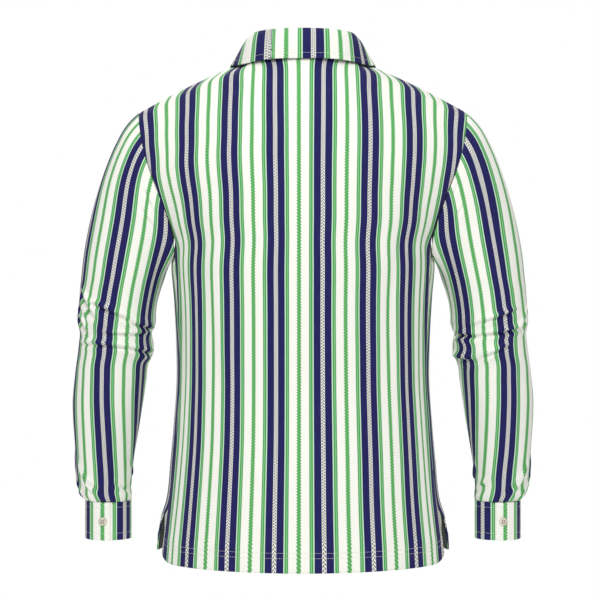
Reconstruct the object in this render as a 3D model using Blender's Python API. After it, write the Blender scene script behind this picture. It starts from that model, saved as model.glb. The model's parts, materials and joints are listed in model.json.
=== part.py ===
"""Long-sleeve golf polo in its worn shape, hollow, with no wearer.

Metres, +Z up. The front faces -Y and +X is the wearer's left. The origin is the middle of
the neck, at the height where the collar meets the shoulders. Tables are in millimetres.
"""
import math

import bpy
import numpy as np

MM = 0.001

# Driving dimensions, in millimetres
CLOTH = 1.2                # wall of a single cloth piece
CUFF_CLOTH = 1.6           # wall of the doubled cuffs, stand and leaf
SEAM_GAP = 0.3             # left between pieces that are sewn or laid together
HEM_Z = -683.0             # side corners of the hem
DROP_TAIL = 12.0           # how much lower the back hem is than its corners
NECK_RX = 80.0             # neckline: half width, half depth and middle
NECK_RY = 71.0
NECK_Y = -11.0
NECK_TOP_Z = 20.0          # neckline at centre back
NECK_DROP = 72.0           # and how much lower it is at centre front
TIP = (234.0, 2.0, -58.0)  # shoulder tip
SHOULDER_GAP = 1.8         # across the shoulder seam outside; the walls are closer inside
SHOULDER_BOW = 3.5         # rise of the shoulder seam above a straight line
NECK_SHARE = 0.34          # share of a half panel's width that the neckline takes
ARM_RING_Z = -297.0        # where the sleeve cap ends and the level arm rings begin
SLEEVE_END_Z = -615.6
CUFF_TOP_Z = -616.0
CUFF_HEIGHT = 54.5
CUFF_CENTRE = (282.5, -36.0)   # middle of the wrist
CUFF_RADIUS = 33.4
CUFF_END_ANGLE = 101.0     # degrees from +X round the wrist: free edge of the cuff
CUFF_OVERLAP = 36.0        # degrees that the cuff laps over itself
CUFF_BUTTON_INSET = 10.5   # from that edge to the button's middle
BUTTON_RADIUS = 6.0
BUTTON_HEIGHT = 2.4
BUTTON_LIFT = 1.2          # front buttons above the panel, besides the placket strip

COLOURS = {
    "cloth": (0.55, 0.66, 0.60),
    "navy": (0.028, 0.026, 0.115),
    "dark": (0.012, 0.012, 0.016),
    "button": (0.72, 0.68, 0.60),
}
ROUGHNESS = {"cloth": 0.85, "navy": 0.85, "dark": 0.9, "button": 0.35}

# Torso below the armholes, from the hem up: side seam, centre-back and centre-front depth
TORSO = (
    # z, x_seam, y_seam, y_back, y_front
    (-683.0, 199.0, 31.0, 142.0, -117.0),
    (-655.0, 195.5, 32.0, 141.5, -117.0),
    (-612.0, 189.6, 33.0, 140.5, -116.0),
    (-555.0, 183.3, 33.0, 138.0, -113.0),
    (-498.0, 178.5, 32.5, 134.5, -110.0),
    (-440.0, 175.0, 32.0, 133.0, -109.0),
    (-383.0, 175.7, 32.5, 135.0, -112.0),
    (-326.0, 178.4, 33.0, 137.5, -117.0),
    (-272.0, 181.6, 33.6, 139.0, -119.0),
)

# Free edges of the front panel beside the vents, which flare out below the side seams
FLAP = (
    # z, x, y
    (-683.0, 209.0, -4.0),
    (-655.0, 206.0, 6.0),
    (-635.0, 201.0, 18.0),
    (-612.0, 189.6, 33.0),
)

# Armhole from the top of the side seam to the shoulder tip, behind and in front
ARMHOLE_BACK = (
    # x, y, z
    (181.6, 33.6, -272.0),
    (180.5, 46.0, -243.0),
    (188.5, 57.0, -213.0),
    (199.0, 62.0, -184.0),
    (209.0, 61.0, -158.0),
    (220.0, 53.0, -130.0),
    (228.5, 38.0, -95.0),
    (232.6, 24.0, -72.0),
    (234.0, 12.0, -61.0),
    TIP,
)
ARMHOLE_FRONT = (
    # x, y, z
    (181.6, 33.6, -272.0),
    (187.2, 8.0, -270.5),
    (187.6, -20.0, -262.5),
    (186.0, -44.0, -242.0),
    (188.5, -58.0, -212.0),
    (197.0, -63.0, -172.0),
    (210.0, -55.0, -132.0),
    (222.5, -38.5, -95.0),
    (229.8, -23.0, -73.0),
    (233.0, -9.0, -61.0),
    TIP,
)

# Centre lines of the upper panels, from the top of the side seams to the neckline
CENTRE_BACK = (
    # share, y, z
    (0.00, 139.0, -272.0),
    (0.22, 137.5, -205.0),
    (0.44, 130.5, -142.0),
    (0.66, 115.0, -82.0),
    (0.84, 90.0, -28.0),
    (1.00, 60.0, 20.0),
)
CENTRE_FRONT = (
    # share, y, z
    (0.00, -119.0, -272.0),
    (0.30, -122.0, -203.0),
    (0.60, -115.0, -138.0),
    (0.80, -102.0, -95.0),
    (1.00, -82.0, -52.0),
)

# Left sleeve below its cap: inner and outer edge seen from behind, middle and half depth.
# The two swellings with a nip between them are the folds at the elbow.
ARM = (
    # z, x_in, x_out, y_mid, half_depth
    (-297.0, 198.8, 317.5, -4.0, 58.5),
    (-312.0, 204.0, 319.0, -4.0, 57.0),
    (-328.0, 208.5, 320.0, -4.0, 56.0),
    (-345.0, 210.8, 321.5, -4.5, 55.5),
    (-360.0, 211.5, 321.8, -5.0, 55.5),
    (-373.0, 217.0, 319.5, -6.0, 52.5),
    (-388.0, 214.5, 321.0, -7.0, 54.0),
    (-404.0, 216.0, 323.0, -8.0, 53.5),
    (-416.0, 221.5, 324.8, -9.0, 51.5),
    (-440.0, 225.0, 328.0, -11.5, 51.0),
    (-469.0, 229.5, 331.0, -15.0, 50.0),
    (-498.0, 234.5, 331.0, -19.0, 47.5),
    (-526.0, 239.5, 329.5, -23.0, 44.0),
    (-555.0, 244.7, 328.0, -27.0, 41.0),
    (-583.0, 248.0, 325.5, -31.0, 38.0),
    (-604.0, 250.3, 321.5, -34.5, 35.0),
    (SLEEVE_END_Z, 249.0, 316.0, -36.0, 33.7),
)

# How the sleeve leaves the armhole: direction by angle round the arm, from +X to the back
CAP = (
    # degrees, x, y, z
    (0.0, 0.82, 0.00, -0.57),
    (45.0, 0.65, 0.22, -0.72),
    (90.0, 0.42, 0.15, -0.90),
    (135.0, 0.35, 0.02, -0.94),
    (180.0, 0.55, 0.00, -0.84),
    (225.0, 0.46, -0.04, -0.89),
    (270.0, 0.42, -0.15, -0.90),
    (315.0, 0.65, -0.22, -0.72),
    (360.0, 0.82, 0.00, -0.57),
)
ARMHOLE_GAP = 0.95         # from the panels to the sleeve, and more on its outer side
ARMHOLE_MITRE = 0.6
CAP_PULL = 0.56            # strength of that direction against the distance to go
CAP_FAN = 1.4              # how the grain lines fan out towards the underarm

# Collar stand by angle round the neck from centre back: inward lean and height of its fold
STAND = (
    # degrees, lean, height
    (0.0, -3.0, 34.0),
    (60.0, -4.0, 34.0),
    (90.0, -5.0, 33.5),
    (115.0, -5.0, 32.0),
    (140.0, -4.0, 30.0),
    (172.0, -1.0, 26.0),
)

# Lower edge of the collar leaf, from centre back to its point
LEAF_EDGE = (
    # degrees, x, y, z
    (0.0, 0.0, 72.6, 10.5),
    (25.0, 40.8, 69.2, 10.5),
    (40.0, 63.3, 60.5, 10.0),
    (56.0, 82.3, 42.5, 9.0),
    (72.0, 97.5, 19.5, 9.5),
    (90.0, 107.8, -11.0, 11.7),
    (108.0, 105.5, -43.0, -1.0),
    (124.0, 94.6, -68.2, -17.6),
    (140.0, 80.6, -90.5, -37.7),
    (155.0, 67.0, -106.0, -62.0),
    (172.0, 49.0, -114.5, -90.0),
)
ROLL = 3.8                 # width of the rolled fold, and its fall and rise inside
ROLL_DROP = 2.4
ROLL_RISE = 0.9
ROLL_GAP = 1.8             # from the inner end of the leaf down to the stand
LEAF_BULGE = 4.8           # how far the leaf rounds out between its fold and its edge
LEAF_END = 172.0           # degrees round the neck at which the leaf's front edge starts
STAND_GAP = 0.8            # between the neckline and the stand, where the walls meet at an angle
STAND_END = 178.5          # degrees round the neck at which the stand ends
UNDER_CLOTH = 1.0
UNDER_SHOW = 1.6           # the under collar shows this far below the leaf

# Rows and columns of the panel meshes
LOWER_ROWS = (-683.0, -655.0, -633.0, -612.0, -555.0, -498.0, -440.0, -383.0, -326.0, -272.0)
UPPER_STEPS = 9
TURN_FROM = 0.45           # share of the upper panel at which it starts to turn over the shoulder
RELAX_PASSES = 10
PLACKET_ROWS = 7           # the slit and its strips take this many of the upper rows
NECK_DEGREES = (0.0, 11.0, 25.0, 40.0, 56.0, 72.0, 90.0)
SHOULDER_STEPS = 7
ARM_SIDES = 16
CAP_STEPS = 7
CUFF_SIDES = 22
LEAF_ROWS = (0.06, 0.35, 0.7, 1.0)
UNDER_FROM = 3             # row of the leaf at which the under collar starts
FRONT_BUTTON_ROWS = (8, 6, 4)   # upper rows above which the placket buttons lie


def spline(keys, values, at):
    """Smooth curve through table values: cubic pieces with the neighbours' mean slopes."""
    keys = np.asarray(keys, float)
    values = np.asarray(values, float)
    slopes = np.gradient(values, keys, axis=0)
    span = int(np.clip(np.searchsorted(keys, at) - 1, 0, len(keys) - 2))
    width = keys[span + 1] - keys[span]
    t = (at - keys[span]) / width
    start, end = values[span], values[span + 1]
    return (start * (2 * t**3 - 3 * t**2 + 1) + end * (3 * t**2 - 2 * t**3)
            + slopes[span] * width * (t**3 - 2 * t**2 + t) + slopes[span + 1] * width * (t**3 - t**2))


def look_up(table, at):
    """Row of a table at a value of its first column, without that column."""
    rows = np.asarray(table, float)
    return spline(rows[:, 0], rows[:, 1:], at)


def path_point(points, share):
    """Point at a share of the length of a smooth path through the points."""
    points = np.asarray(points, float)
    steps = np.linalg.norm(np.diff(points, axis=0), axis=1)
    lengths = np.concatenate(([0.0], np.cumsum(steps)))
    return spline(lengths / lengths[-1], points, share)


def unit(vector):
    """The vector at length 1."""
    vector = np.asarray(vector, float)
    return vector / np.linalg.norm(vector)


def hermite(start, end, pull_start, pull_end, t):
    """Cubic from start to end with the given pulls at its ends."""
    return (start * (2 * t**3 - 3 * t**2 + 1) + end * (3 * t**2 - 2 * t**3)
            + pull_start * (t**3 - 2 * t**2 + t) + pull_end * (t**3 - t**2))


def arc(share, edge, centre_y, wrap):
    """X and Y at a share of the way from the centre line to an edge, on an elliptical arc."""
    turn = share * wrap
    x = edge[0] * math.sin(turn) / math.sin(wrap)
    y = edge[1] + (centre_y - edge[1]) * (math.cos(turn) - math.cos(wrap)) / (1 - math.cos(wrap))
    return x, y


def neckline(degrees):
    """Point of the neckline, by angle round the neck from centre back to the wearer's left."""
    turn = math.radians(degrees)
    fall = ((1 - math.cos(turn)) / 2) ** 5
    x, y = NECK_RX * math.sin(turn), NECK_Y + NECK_RY * math.cos(turn)
    return np.array((x, y, NECK_TOP_Z - NECK_DROP * fall))


def neck_degrees(share, front):
    """Angle round the neck of the column at this share of a half panel's width."""
    degrees = math.degrees(math.asin(min(1.0, share / NECK_SHARE)))
    return 180.0 - degrees if front else degrees


def top_edge(share, front):
    """Point and crossing direction at the neckline or the shoulder seam of a half panel."""
    side = -1.0 if front else 1.0
    if share <= NECK_SHARE:
        degrees = neck_degrees(share, front)
        across = abs(math.sin(math.radians(degrees)))
        rising = np.array((0.0, -0.45 * side, 0.90)) * (1 - across)
        crossing = np.array((0.0, -1.0 * side, 0.12)) * across
        point = neckline(degrees)
        point[1] += side * SHOULDER_GAP / 2 * across**12
        return point, unit(rising + crossing)
    along = (share - NECK_SHARE) / (1 - NECK_SHARE)
    point = neckline(90.0) * (1 - along) + np.array(TIP) * along
    point[2] += SHOULDER_BOW * math.sin(math.pi * along)
    point[1] += side * SHOULDER_GAP / 2
    return point, unit((0.0, -1.0 * side, 0.12 * (1 - along)))


def lower_wrap(front, edge_y):
    """Angle that the section of a panel turns through from its centre to its edge."""
    return math.radians(90.0 + edge_y * 14.0 / 33.0) if front else math.radians(76.0)


def lower_point(share, z, front):
    """Point of a half panel below the armholes."""
    x_seam, y_seam, y_back, y_front = look_up(TORSO, z)
    edge = (x_seam, y_seam)
    if front and z < FLAP[-1][0]:
        edge = look_up(FLAP, z)
    x, y = arc(share, edge, y_front if front else y_back, lower_wrap(front, edge[1]))
    if not front:
        z = z - DROP_TAIL * hem_drop(share) * np.clip((FLAP[1][0] - z) / (FLAP[1][0] - HEM_Z), 0, 1)
    return np.array((x, y, z))


def hem_drop(share):
    """Full drop along the back hem, easing to none at its rounded corners."""
    rest = np.clip((share - 0.80) / 0.20, 0, 1)
    return math.cos(rest * math.pi / 2) ** 0.5 if rest < 1 else 0.0


def upper_section(share, t, front):
    """Plain section of an upper half panel, from the side seam's top (0) to the shoulder (1)."""
    edge = path_point(ARMHOLE_FRONT if front else ARMHOLE_BACK, t)
    centre_y, centre_z = look_up(CENTRE_FRONT if front else CENTRE_BACK, t)
    start_wrap = math.degrees(lower_wrap(front, TORSO[-1][2]))
    wrap = math.radians(start_wrap + (60.0 - start_wrap) * min(1.0, t / 0.35))
    x, y = arc(share, edge, centre_y, wrap)
    blend = share * share
    return np.array((x, y, centre_z * (1 - blend) + edge[2] * blend))


def upper_point(share, t, front):
    """Point of an upper half panel, turned over the shoulder at its top."""
    if t <= TURN_FROM:
        return upper_section(share, t, front)

    def turned(at):
        start = upper_section(at, TURN_FROM, front)
        rise = (start - upper_section(at, TURN_FROM - 0.02, front)) / 0.02 * (1 - TURN_FROM)
        end, crossing = top_edge(at, front)
        pull = crossing * np.linalg.norm(end - start)
        return hermite(start, end, rise, pull, (t - TURN_FROM) / (1 - TURN_FROM))

    point = turned(share)
    edge_fix = path_point(ARMHOLE_FRONT if front else ARMHOLE_BACK, t) - turned(1.0)
    centre_y, centre_z = look_up(CENTRE_FRONT if front else CENTRE_BACK, t)
    centre_fix = np.array((0.0, centre_y, centre_z)) - turned(0.0)
    ease = 1.0 - max(0.0, (t - 0.9) / 0.1)
    return point + edge_fix * share**4 * ease + centre_fix * (1 - share) ** 3 * ease


def panel_shares():
    """Column shares of a half panel, from the centre line to its edge."""
    neck = [NECK_SHARE * math.sin(math.radians(d)) for d in NECK_DEGREES]
    steps = [NECK_SHARE + (1 - NECK_SHARE) * k / SHOULDER_STEPS for k in range(1, SHOULDER_STEPS + 1)]
    return neck + steps


def relax(grid, shares):
    """Even out the curvature across the rows that turn over the shoulder, edges kept."""
    signed = np.array(shares[::-1] + [-s for s in shares[1:]])
    left, here, right = signed[:-2], signed[1:-1], signed[2:]
    to_right = ((left - here) / (left - right))[None, :, None]
    first = len(LOWER_ROWS) + 2
    amount = np.linspace(0.15, 0.5, len(grid) - 1 - first)[:, None, None]
    for _ in range(RELAX_PASSES):
        rows = grid[first:-1]
        straight = rows[:, :-2] * (1 - to_right) + rows[:, 2:] * to_right
        rows[:, 1:-1] += (straight - rows[:, 1:-1]) * amount


def panel_grid(front):
    """Rows of points from the hem to the top, each from the wearer's left edge to the right."""
    shares = panel_shares()
    columns = shares[::-1] + [-s for s in shares[1:]]
    rows = []
    for z in LOWER_ROWS:
        rows.append([lower_point(abs(s), z, front) for s in columns])
    for k in range(1, UPPER_STEPS + 1):
        rows.append([upper_point(abs(s), k / UPPER_STEPS, front) for s in columns])
    grid = np.array(rows)
    for j, s in enumerate(columns):
        if s < 0:
            grid[:, j, 0] *= -1
    relax(grid, shares)
    return grid


def arm_ring(z):
    """Level ring of the left sleeve at a height."""
    x_in, x_out, y_mid, half_depth = look_up(ARM[::-1], z)
    ring = []
    for k in range(ARM_SIDES):
        turn = 2 * math.pi * k / ARM_SIDES
        x = (x_in + x_out) / 2 + (x_out - x_in) / 2 * math.cos(turn)
        ring.append((x, y_mid + half_depth * math.sin(turn), z))
    return np.array(ring)


def armhole_point(degrees):
    """Point of the left armhole that the sleeve's grain line at this angle runs to."""
    bottom = ARMHOLE_FRONT[1]
    behind = (bottom,) + ARMHOLE_BACK
    ahead = ARMHOLE_FRONT[1:]
    side = degrees if degrees <= 180.0 else 360.0 - degrees
    share = 1.0 - (side / 180.0) ** CAP_FAN
    return path_point(behind if degrees <= 180.0 else ahead, share)


def sleeve_rows():
    """Rings of the left sleeve from the armhole to the cuff."""
    first = arm_ring(ARM_RING_Z)
    starts, pulls, ends = [], [], []
    for k in range(ARM_SIDES):
        degrees = 360.0 * k / ARM_SIDES
        leaving = unit(look_up(CAP, degrees))
        mitre = ARMHOLE_MITRE * max(0.0, math.cos(math.radians(degrees))) ** 2
        start = armhole_point(degrees) + leaving * (ARMHOLE_GAP + mitre)
        reach = np.linalg.norm(first[k] - start)
        arriving = unit((0.175 - 0.11 * math.cos(math.radians(degrees)), 0.0, -0.98))
        starts.append(start)
        pulls.append(leaving * reach * CAP_PULL)
        ends.append(arriving * reach)
    starts, pulls, ends = np.array(starts), np.array(pulls), np.array(ends)
    rows = [hermite(starts, first, pulls, ends, k / CAP_STEPS) for k in range(CAP_STEPS)]
    rows += [arm_ring(row[0]) for row in ARM]
    return np.array(rows)


def shade(mesh):
    """Smooth shading with the seams and rims kept sharp."""
    mesh.shade_smooth()
    mesh.set_sharp_from_angle(angle=math.radians(50.0))


def make_material(name):
    """Plain cloth or button finish."""
    material = bpy.data.materials.new(name)
    material.use_nodes = True
    shader = material.node_tree.nodes["Principled BSDF"]
    shader.inputs["Base Color"].default_value = (*COLOURS[name], 1.0)
    shader.inputs["Roughness"].default_value = ROUGHNESS[name]
    shader.inputs["Metallic"].default_value = 0.0
    return material


def add_object(name, points, faces, material, wall=None):
    """Object from millimetre points; wall gives an open sheet its thickness, inwards."""
    mesh = bpy.data.meshes.new(name)
    mesh.from_pydata([tuple(np.asarray(p) * MM) for p in points], [], faces)
    mesh.update()
    shade(mesh)
    thing = bpy.data.objects.new(name, mesh)
    bpy.context.collection.objects.link(thing)
    mesh.materials.append(material)
    if wall:
        solid = thing.modifiers.new("wall", "SOLIDIFY")
        solid.thickness = wall * MM
        solid.offset = -1.0
        solid.use_even_offset = True
    return thing


def grid_faces(rows, columns, ring=False):
    """Quads of a grid whose points run row by row; a ring closes each row on itself."""
    faces = []
    for i in range(rows - 1):
        for j in range(columns if ring else columns - 1):
            k = (j + 1) % columns
            below = i * columns
            above = below + columns
            faces.append((below + j, below + k, above + k, above + j))
    return faces


def flipped(faces):
    """The same faces seen from the other side."""
    return [tuple(reversed(face)) for face in faces]


def normals(grid):
    """Unit normals at the points of an open grid, by its row and column directions."""
    along = np.gradient(grid, axis=0)
    across = np.gradient(grid, axis=1)
    cross = np.cross(across, along)
    return cross / np.linalg.norm(cross, axis=2, keepdims=True)


def make_back(cloth):
    """Back panel."""
    grid = panel_grid(front=False)
    rows, columns = grid.shape[:2]
    add_object("back", grid.reshape(-1, 3), grid_faces(rows, columns), cloth, CLOTH)


def make_front(cloth):
    """Front panel, slit from the neckline down to the foot of the placket."""
    grid = panel_grid(front=True)
    step = SEAM_GAP * math.sqrt(0.5)
    grid[:, 0] += np.array((step, -step, 0.0))
    grid[:, -1] += np.array((-step, -step, 0.0))
    rows, columns = grid.shape[:2]
    middle = columns // 2
    slit_from = rows - PLACKET_ROWS
    points = list(grid.reshape(-1, 3))
    faces = grid_faces(rows, columns)
    other_side = {}
    for i in range(slit_from, rows):
        index = i * columns + middle
        other_side[index] = len(points)
        points.append(points[index] + np.array((-SEAM_GAP, 0.0, 0.0)))
        points[index] = points[index] + np.array((SEAM_GAP, 0.0, 0.0))
    split = []
    for number, face in enumerate(faces):
        if number % (columns - 1) >= middle:
            face = tuple(other_side.get(index, index) for index in face)
        split.append(face)
    add_object("front", points, flipped(split), cloth, CLOTH)
    return grid


def make_placket(front_grid, cloth):
    """Strip on the front panel over the slit, and the strip behind it."""
    middle = front_grid.shape[1] // 2
    out = -normals(front_grid)
    span = slice(front_grid.shape[0] - PLACKET_ROWS, front_grid.shape[0])
    strip = front_grid[span, middle - 1:middle + 2]
    away = out[span, middle - 1:middle + 2]
    rows, columns = strip.shape[:2]
    faces = flipped(grid_faces(rows, columns))
    over = strip + away * (SEAM_GAP + CLOTH)
    under = strip - away * (CLOTH + SEAM_GAP)
    add_object("placket_over", over.reshape(-1, 3), faces, cloth, CLOTH)
    add_object("placket_under", under.reshape(-1, 3), faces, cloth, CLOTH)


def make_sleeves(cloth):
    """Left sleeve and its mirror."""
    rows = sleeve_rows()
    faces = grid_faces(rows.shape[0], ARM_SIDES, ring=True)
    left = rows.reshape(-1, 3)
    add_object("sleeve_left", left, flipped(faces), cloth, CLOTH)
    add_object("sleeve_right", left * np.array((-1.0, 1.0, 1.0)), faces, cloth, CLOTH)


def cuff_point(turned, height):
    """Outer surface of the left cuff, by degrees turned from its under end."""
    lap = CUFF_CLOTH + SEAM_GAP
    ease = np.clip((turned - CUFF_OVERLAP) / 60.0, 0.0, 1.0)
    radius = CUFF_RADIUS - lap * (1.0 - ease * ease * (3 - 2 * ease))
    turn = math.radians(CUFF_END_ANGLE - CUFF_OVERLAP + turned)
    return np.array((CUFF_CENTRE[0] + radius * math.cos(turn), CUFF_CENTRE[1] + radius * math.sin(turn),
                     CUFF_TOP_Z - height))


def make_cuffs(cloth):
    """Cuff strips wound once round the wrist and lapped under their buttons."""
    sweep = 360.0 + CUFF_OVERLAP
    turns = [sweep * k / CUFF_SIDES for k in range(CUFF_SIDES + 1)]
    rows = [[cuff_point(turned, height) for turned in turns] for height in (0.0, CUFF_HEIGHT)]
    points = np.array(rows).reshape(-1, 3)
    faces = grid_faces(2, CUFF_SIDES + 1)
    add_object("cuff_left", points, flipped(faces), cloth, CUFF_CLOTH)
    add_object("cuff_right", points * np.array((-1.0, 1.0, 1.0)), faces, cloth, CUFF_CLOTH)


def collar_degrees(last):
    """Angles round the neck for the collar's columns, from the right end to the left."""
    back = list(NECK_DEGREES)
    front = [180.0 - d for d in reversed(NECK_DEGREES) if 90.0 > d and 180.0 - d < last]
    half = back + front + [last]
    return [-d for d in reversed(half[1:])] + half


def mirrored(point, degrees):
    """The point on the side that the sign of the angle gives."""
    return point * np.array((-1.0, 1.0, 1.0)) if degrees < 0 else point


def outwards(degrees):
    """Level direction away from the neck."""
    turn = math.radians(degrees)
    return unit((math.sin(turn) / NECK_RX, math.cos(turn) / NECK_RY, 0.0))


def stand_base(degrees):
    """Foot of the collar stand, square to the neckline and just clear of it."""
    step = 0.5
    along = unit(neckline(degrees + step) - neckline(degrees - step))
    rise = np.array((0.0, 0.0, 1.0)) - along * along[2]
    return neckline(degrees) + unit(rise) * STAND_GAP


def fold_point(degrees):
    """Top of the collar stand, where the leaf folds over."""
    lean, height = look_up(STAND, min(degrees, LEAF_END))
    return neckline(degrees) + outwards(degrees) * lean + np.array((0.0, 0.0, height))


def make_stand(cloth):
    """Collar stand, open at centre front."""
    degrees = collar_degrees(STAND_END)
    rows = []
    for level in (0.0, 1.0):
        row = []
        for d in degrees:
            base = stand_base(abs(d))
            top = fold_point(abs(d)) - outwards(abs(d)) * (ROLL - CUFF_CLOTH)
            top[2] -= ROLL_DROP + ROLL_GAP
            row.append(mirrored(base * (1 - level) + top * level, d))
        rows.append(row)
    grid = np.array(rows)
    faces = flipped(grid_faces(2, len(degrees)))
    add_object("collar_stand", grid.reshape(-1, 3), faces, cloth, CUFF_CLOTH)


def leaf_point(degrees, down):
    """Outer surface of the leaf from its fold (0) to its edge (1)."""
    point = fold_point(degrees) * (1 - down) + look_up(LEAF_EDGE, degrees) * down
    bulge = LEAF_BULGE * math.sin(math.pi * down**0.7)
    return point + outwards(degrees) * bulge


def roll_point(degrees):
    """Inner end of the leaf, which rolls over the fold to sit on the stand."""
    return fold_point(degrees) - outwards(degrees) * ROLL - np.array((0.0, 0.0, ROLL_DROP))


def crest_point(degrees):
    """Highest line of the fold."""
    return fold_point(degrees) - outwards(degrees) * ROLL * 0.4 + np.array((0.0, 0.0, ROLL_RISE))


def make_leaf(cloth, dark):
    """Collar leaf, and the dark under collar beneath it."""
    degrees = collar_degrees(LEAF_END)
    leaf = [[mirrored(point(abs(d)), d) for d in degrees] for point in (roll_point, crest_point)]
    leaf += [[mirrored(leaf_point(abs(d), s), d) for d in degrees] for s in LEAF_ROWS]
    leaf = np.array(leaf)
    faces = grid_faces(leaf.shape[0], leaf.shape[1])
    add_object("collar_leaf", leaf.reshape(-1, 3), faces, cloth, CUFF_CLOTH)
    inner = leaf[UNDER_FROM:].copy()
    out = normals(leaf)[UNDER_FROM:]
    inner -= out * (CUFF_CLOTH + SEAM_GAP)
    down = leaf[-1] - leaf[-2]
    inner[-1] += down / np.linalg.norm(down, axis=1, keepdims=True) * UNDER_SHOW
    faces = grid_faces(inner.shape[0], inner.shape[1])
    add_object("under_collar", inner.reshape(-1, 3), faces, dark, UNDER_CLOTH)


def button_profile():
    """Half section of a button from its face's middle to its back: radius and height."""
    r, h = BUTTON_RADIUS, BUTTON_HEIGHT
    well = h * 0.7
    return ((0.0, well), (r * 0.62, well), (r * 0.74, h), (r * 0.92, h),
            (r, h * 0.6), (r * 0.8, 0.0), (0.0, 0.0))


def make_button(name, seat, facing, material, sides=16):
    """Turned button whose back lies on its seat."""
    facing = unit(facing)
    across = unit(np.cross(facing, (0.0, 0.0, 1.0)))
    up = np.cross(across, facing)
    profile = button_profile()
    points = [seat + facing * profile[0][1]]
    for radius, height in profile[1:-1]:
        for k in range(sides):
            turn = 2 * math.pi * k / sides
            spoke = across * math.cos(turn) + up * math.sin(turn)
            points.append(seat + facing * height + spoke * radius)
    points.append(seat)
    rings = len(profile) - 2
    faces = []
    for k in range(sides):
        n = (k + 1) % sides
        faces.append((0, 1 + k, 1 + n))
        for i in range(rings - 1):
            a, b = 1 + i * sides, 1 + (i + 1) * sides
            faces.append((a + k, b + k, b + n, a + n))
        last = 1 + (rings - 1) * sides
        faces.append((last + k, len(points) - 1, last + n))
    turned_out = np.dot(np.cross(across, up), facing) > 0
    add_object(name, points, faces if turned_out else flipped(faces), material)


def make_buttons(front_grid, material):
    """Placket buttons and cuff buttons."""
    middle = front_grid.shape[1] // 2
    first_upper = len(LOWER_ROWS) - 1
    for number, row in enumerate(FRONT_BUTTON_ROWS, start=1):
        low, high = front_grid[first_upper + row:first_upper + row + 2, middle]
        facing = unit(np.cross(high - low, (-1.0, 0.0, 0.0)))
        seat = (low + high) / 2 + facing * (BUTTON_LIFT + CLOTH)
        make_button("button_front_%d" % number, seat, facing, material)
    angle = math.radians(CUFF_END_ANGLE) - CUFF_BUTTON_INSET / CUFF_RADIUS
    facing = np.array((math.cos(angle), math.sin(angle), 0.0))
    centre = np.array((CUFF_CENTRE[0], CUFF_CENTRE[1], CUFF_TOP_Z - CUFF_HEIGHT / 2))
    seat = centre + facing * (CUFF_RADIUS + SEAM_GAP)
    flip = np.array((-1.0, 1.0, 1.0))
    make_button("button_cuff_left", seat, facing, material)
    make_button("button_cuff_right", seat * flip, facing * flip, material)


def clear_scene():
    """Remove what the scene holds."""
    for thing in list(bpy.data.objects):
        bpy.data.objects.remove(thing, do_unlink=True)


def main():
    """Build every piece."""
    clear_scene()
    cloth = make_material("cloth")
    make_back(cloth)
    front_grid = make_front(cloth)
    make_placket(front_grid, cloth)
    make_sleeves(cloth)
    make_cuffs(make_material("navy"))
    make_stand(cloth)
    make_leaf(cloth, make_material("dark"))
    make_buttons(front_grid, make_material("button"))


main()
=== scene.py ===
"""Looks of the long-sleeve golf polo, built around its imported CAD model.

The cloth pieces repeat the CAD model's tables in millimetres, on a far finer grid, with folds,
turned edges, stitches and a striped knit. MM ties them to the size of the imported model.
"""
import json
import math

import bpy
import numpy as np
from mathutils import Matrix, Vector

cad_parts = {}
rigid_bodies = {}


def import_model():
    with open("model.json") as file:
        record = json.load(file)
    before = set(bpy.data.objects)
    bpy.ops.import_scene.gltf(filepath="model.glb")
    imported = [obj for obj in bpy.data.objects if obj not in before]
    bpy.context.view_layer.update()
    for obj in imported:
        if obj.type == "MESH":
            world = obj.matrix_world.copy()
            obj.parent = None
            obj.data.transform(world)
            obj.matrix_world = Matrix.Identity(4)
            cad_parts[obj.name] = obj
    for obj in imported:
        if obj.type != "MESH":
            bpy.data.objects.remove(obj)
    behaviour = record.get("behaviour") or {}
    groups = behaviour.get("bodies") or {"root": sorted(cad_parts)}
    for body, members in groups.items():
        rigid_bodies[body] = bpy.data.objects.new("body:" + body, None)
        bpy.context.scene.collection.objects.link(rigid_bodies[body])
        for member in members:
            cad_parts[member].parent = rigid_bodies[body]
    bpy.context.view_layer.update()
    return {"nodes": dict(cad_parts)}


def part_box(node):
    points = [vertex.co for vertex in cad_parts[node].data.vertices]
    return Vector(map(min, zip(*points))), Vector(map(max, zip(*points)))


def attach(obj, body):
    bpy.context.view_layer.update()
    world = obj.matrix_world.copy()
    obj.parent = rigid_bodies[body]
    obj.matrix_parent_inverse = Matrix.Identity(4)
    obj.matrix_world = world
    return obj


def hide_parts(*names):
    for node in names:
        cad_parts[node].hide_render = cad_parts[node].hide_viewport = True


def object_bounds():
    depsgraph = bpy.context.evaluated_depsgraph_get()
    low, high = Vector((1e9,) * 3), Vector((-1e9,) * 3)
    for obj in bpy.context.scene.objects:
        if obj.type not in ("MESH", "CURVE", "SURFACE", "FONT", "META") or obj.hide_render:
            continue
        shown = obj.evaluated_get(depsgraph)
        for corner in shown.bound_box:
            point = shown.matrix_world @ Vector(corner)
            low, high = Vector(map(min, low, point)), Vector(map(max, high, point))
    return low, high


for thing in list(bpy.data.objects):    # what a new file starts with
    bpy.data.objects.remove(thing, do_unlink=True)
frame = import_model()

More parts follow.
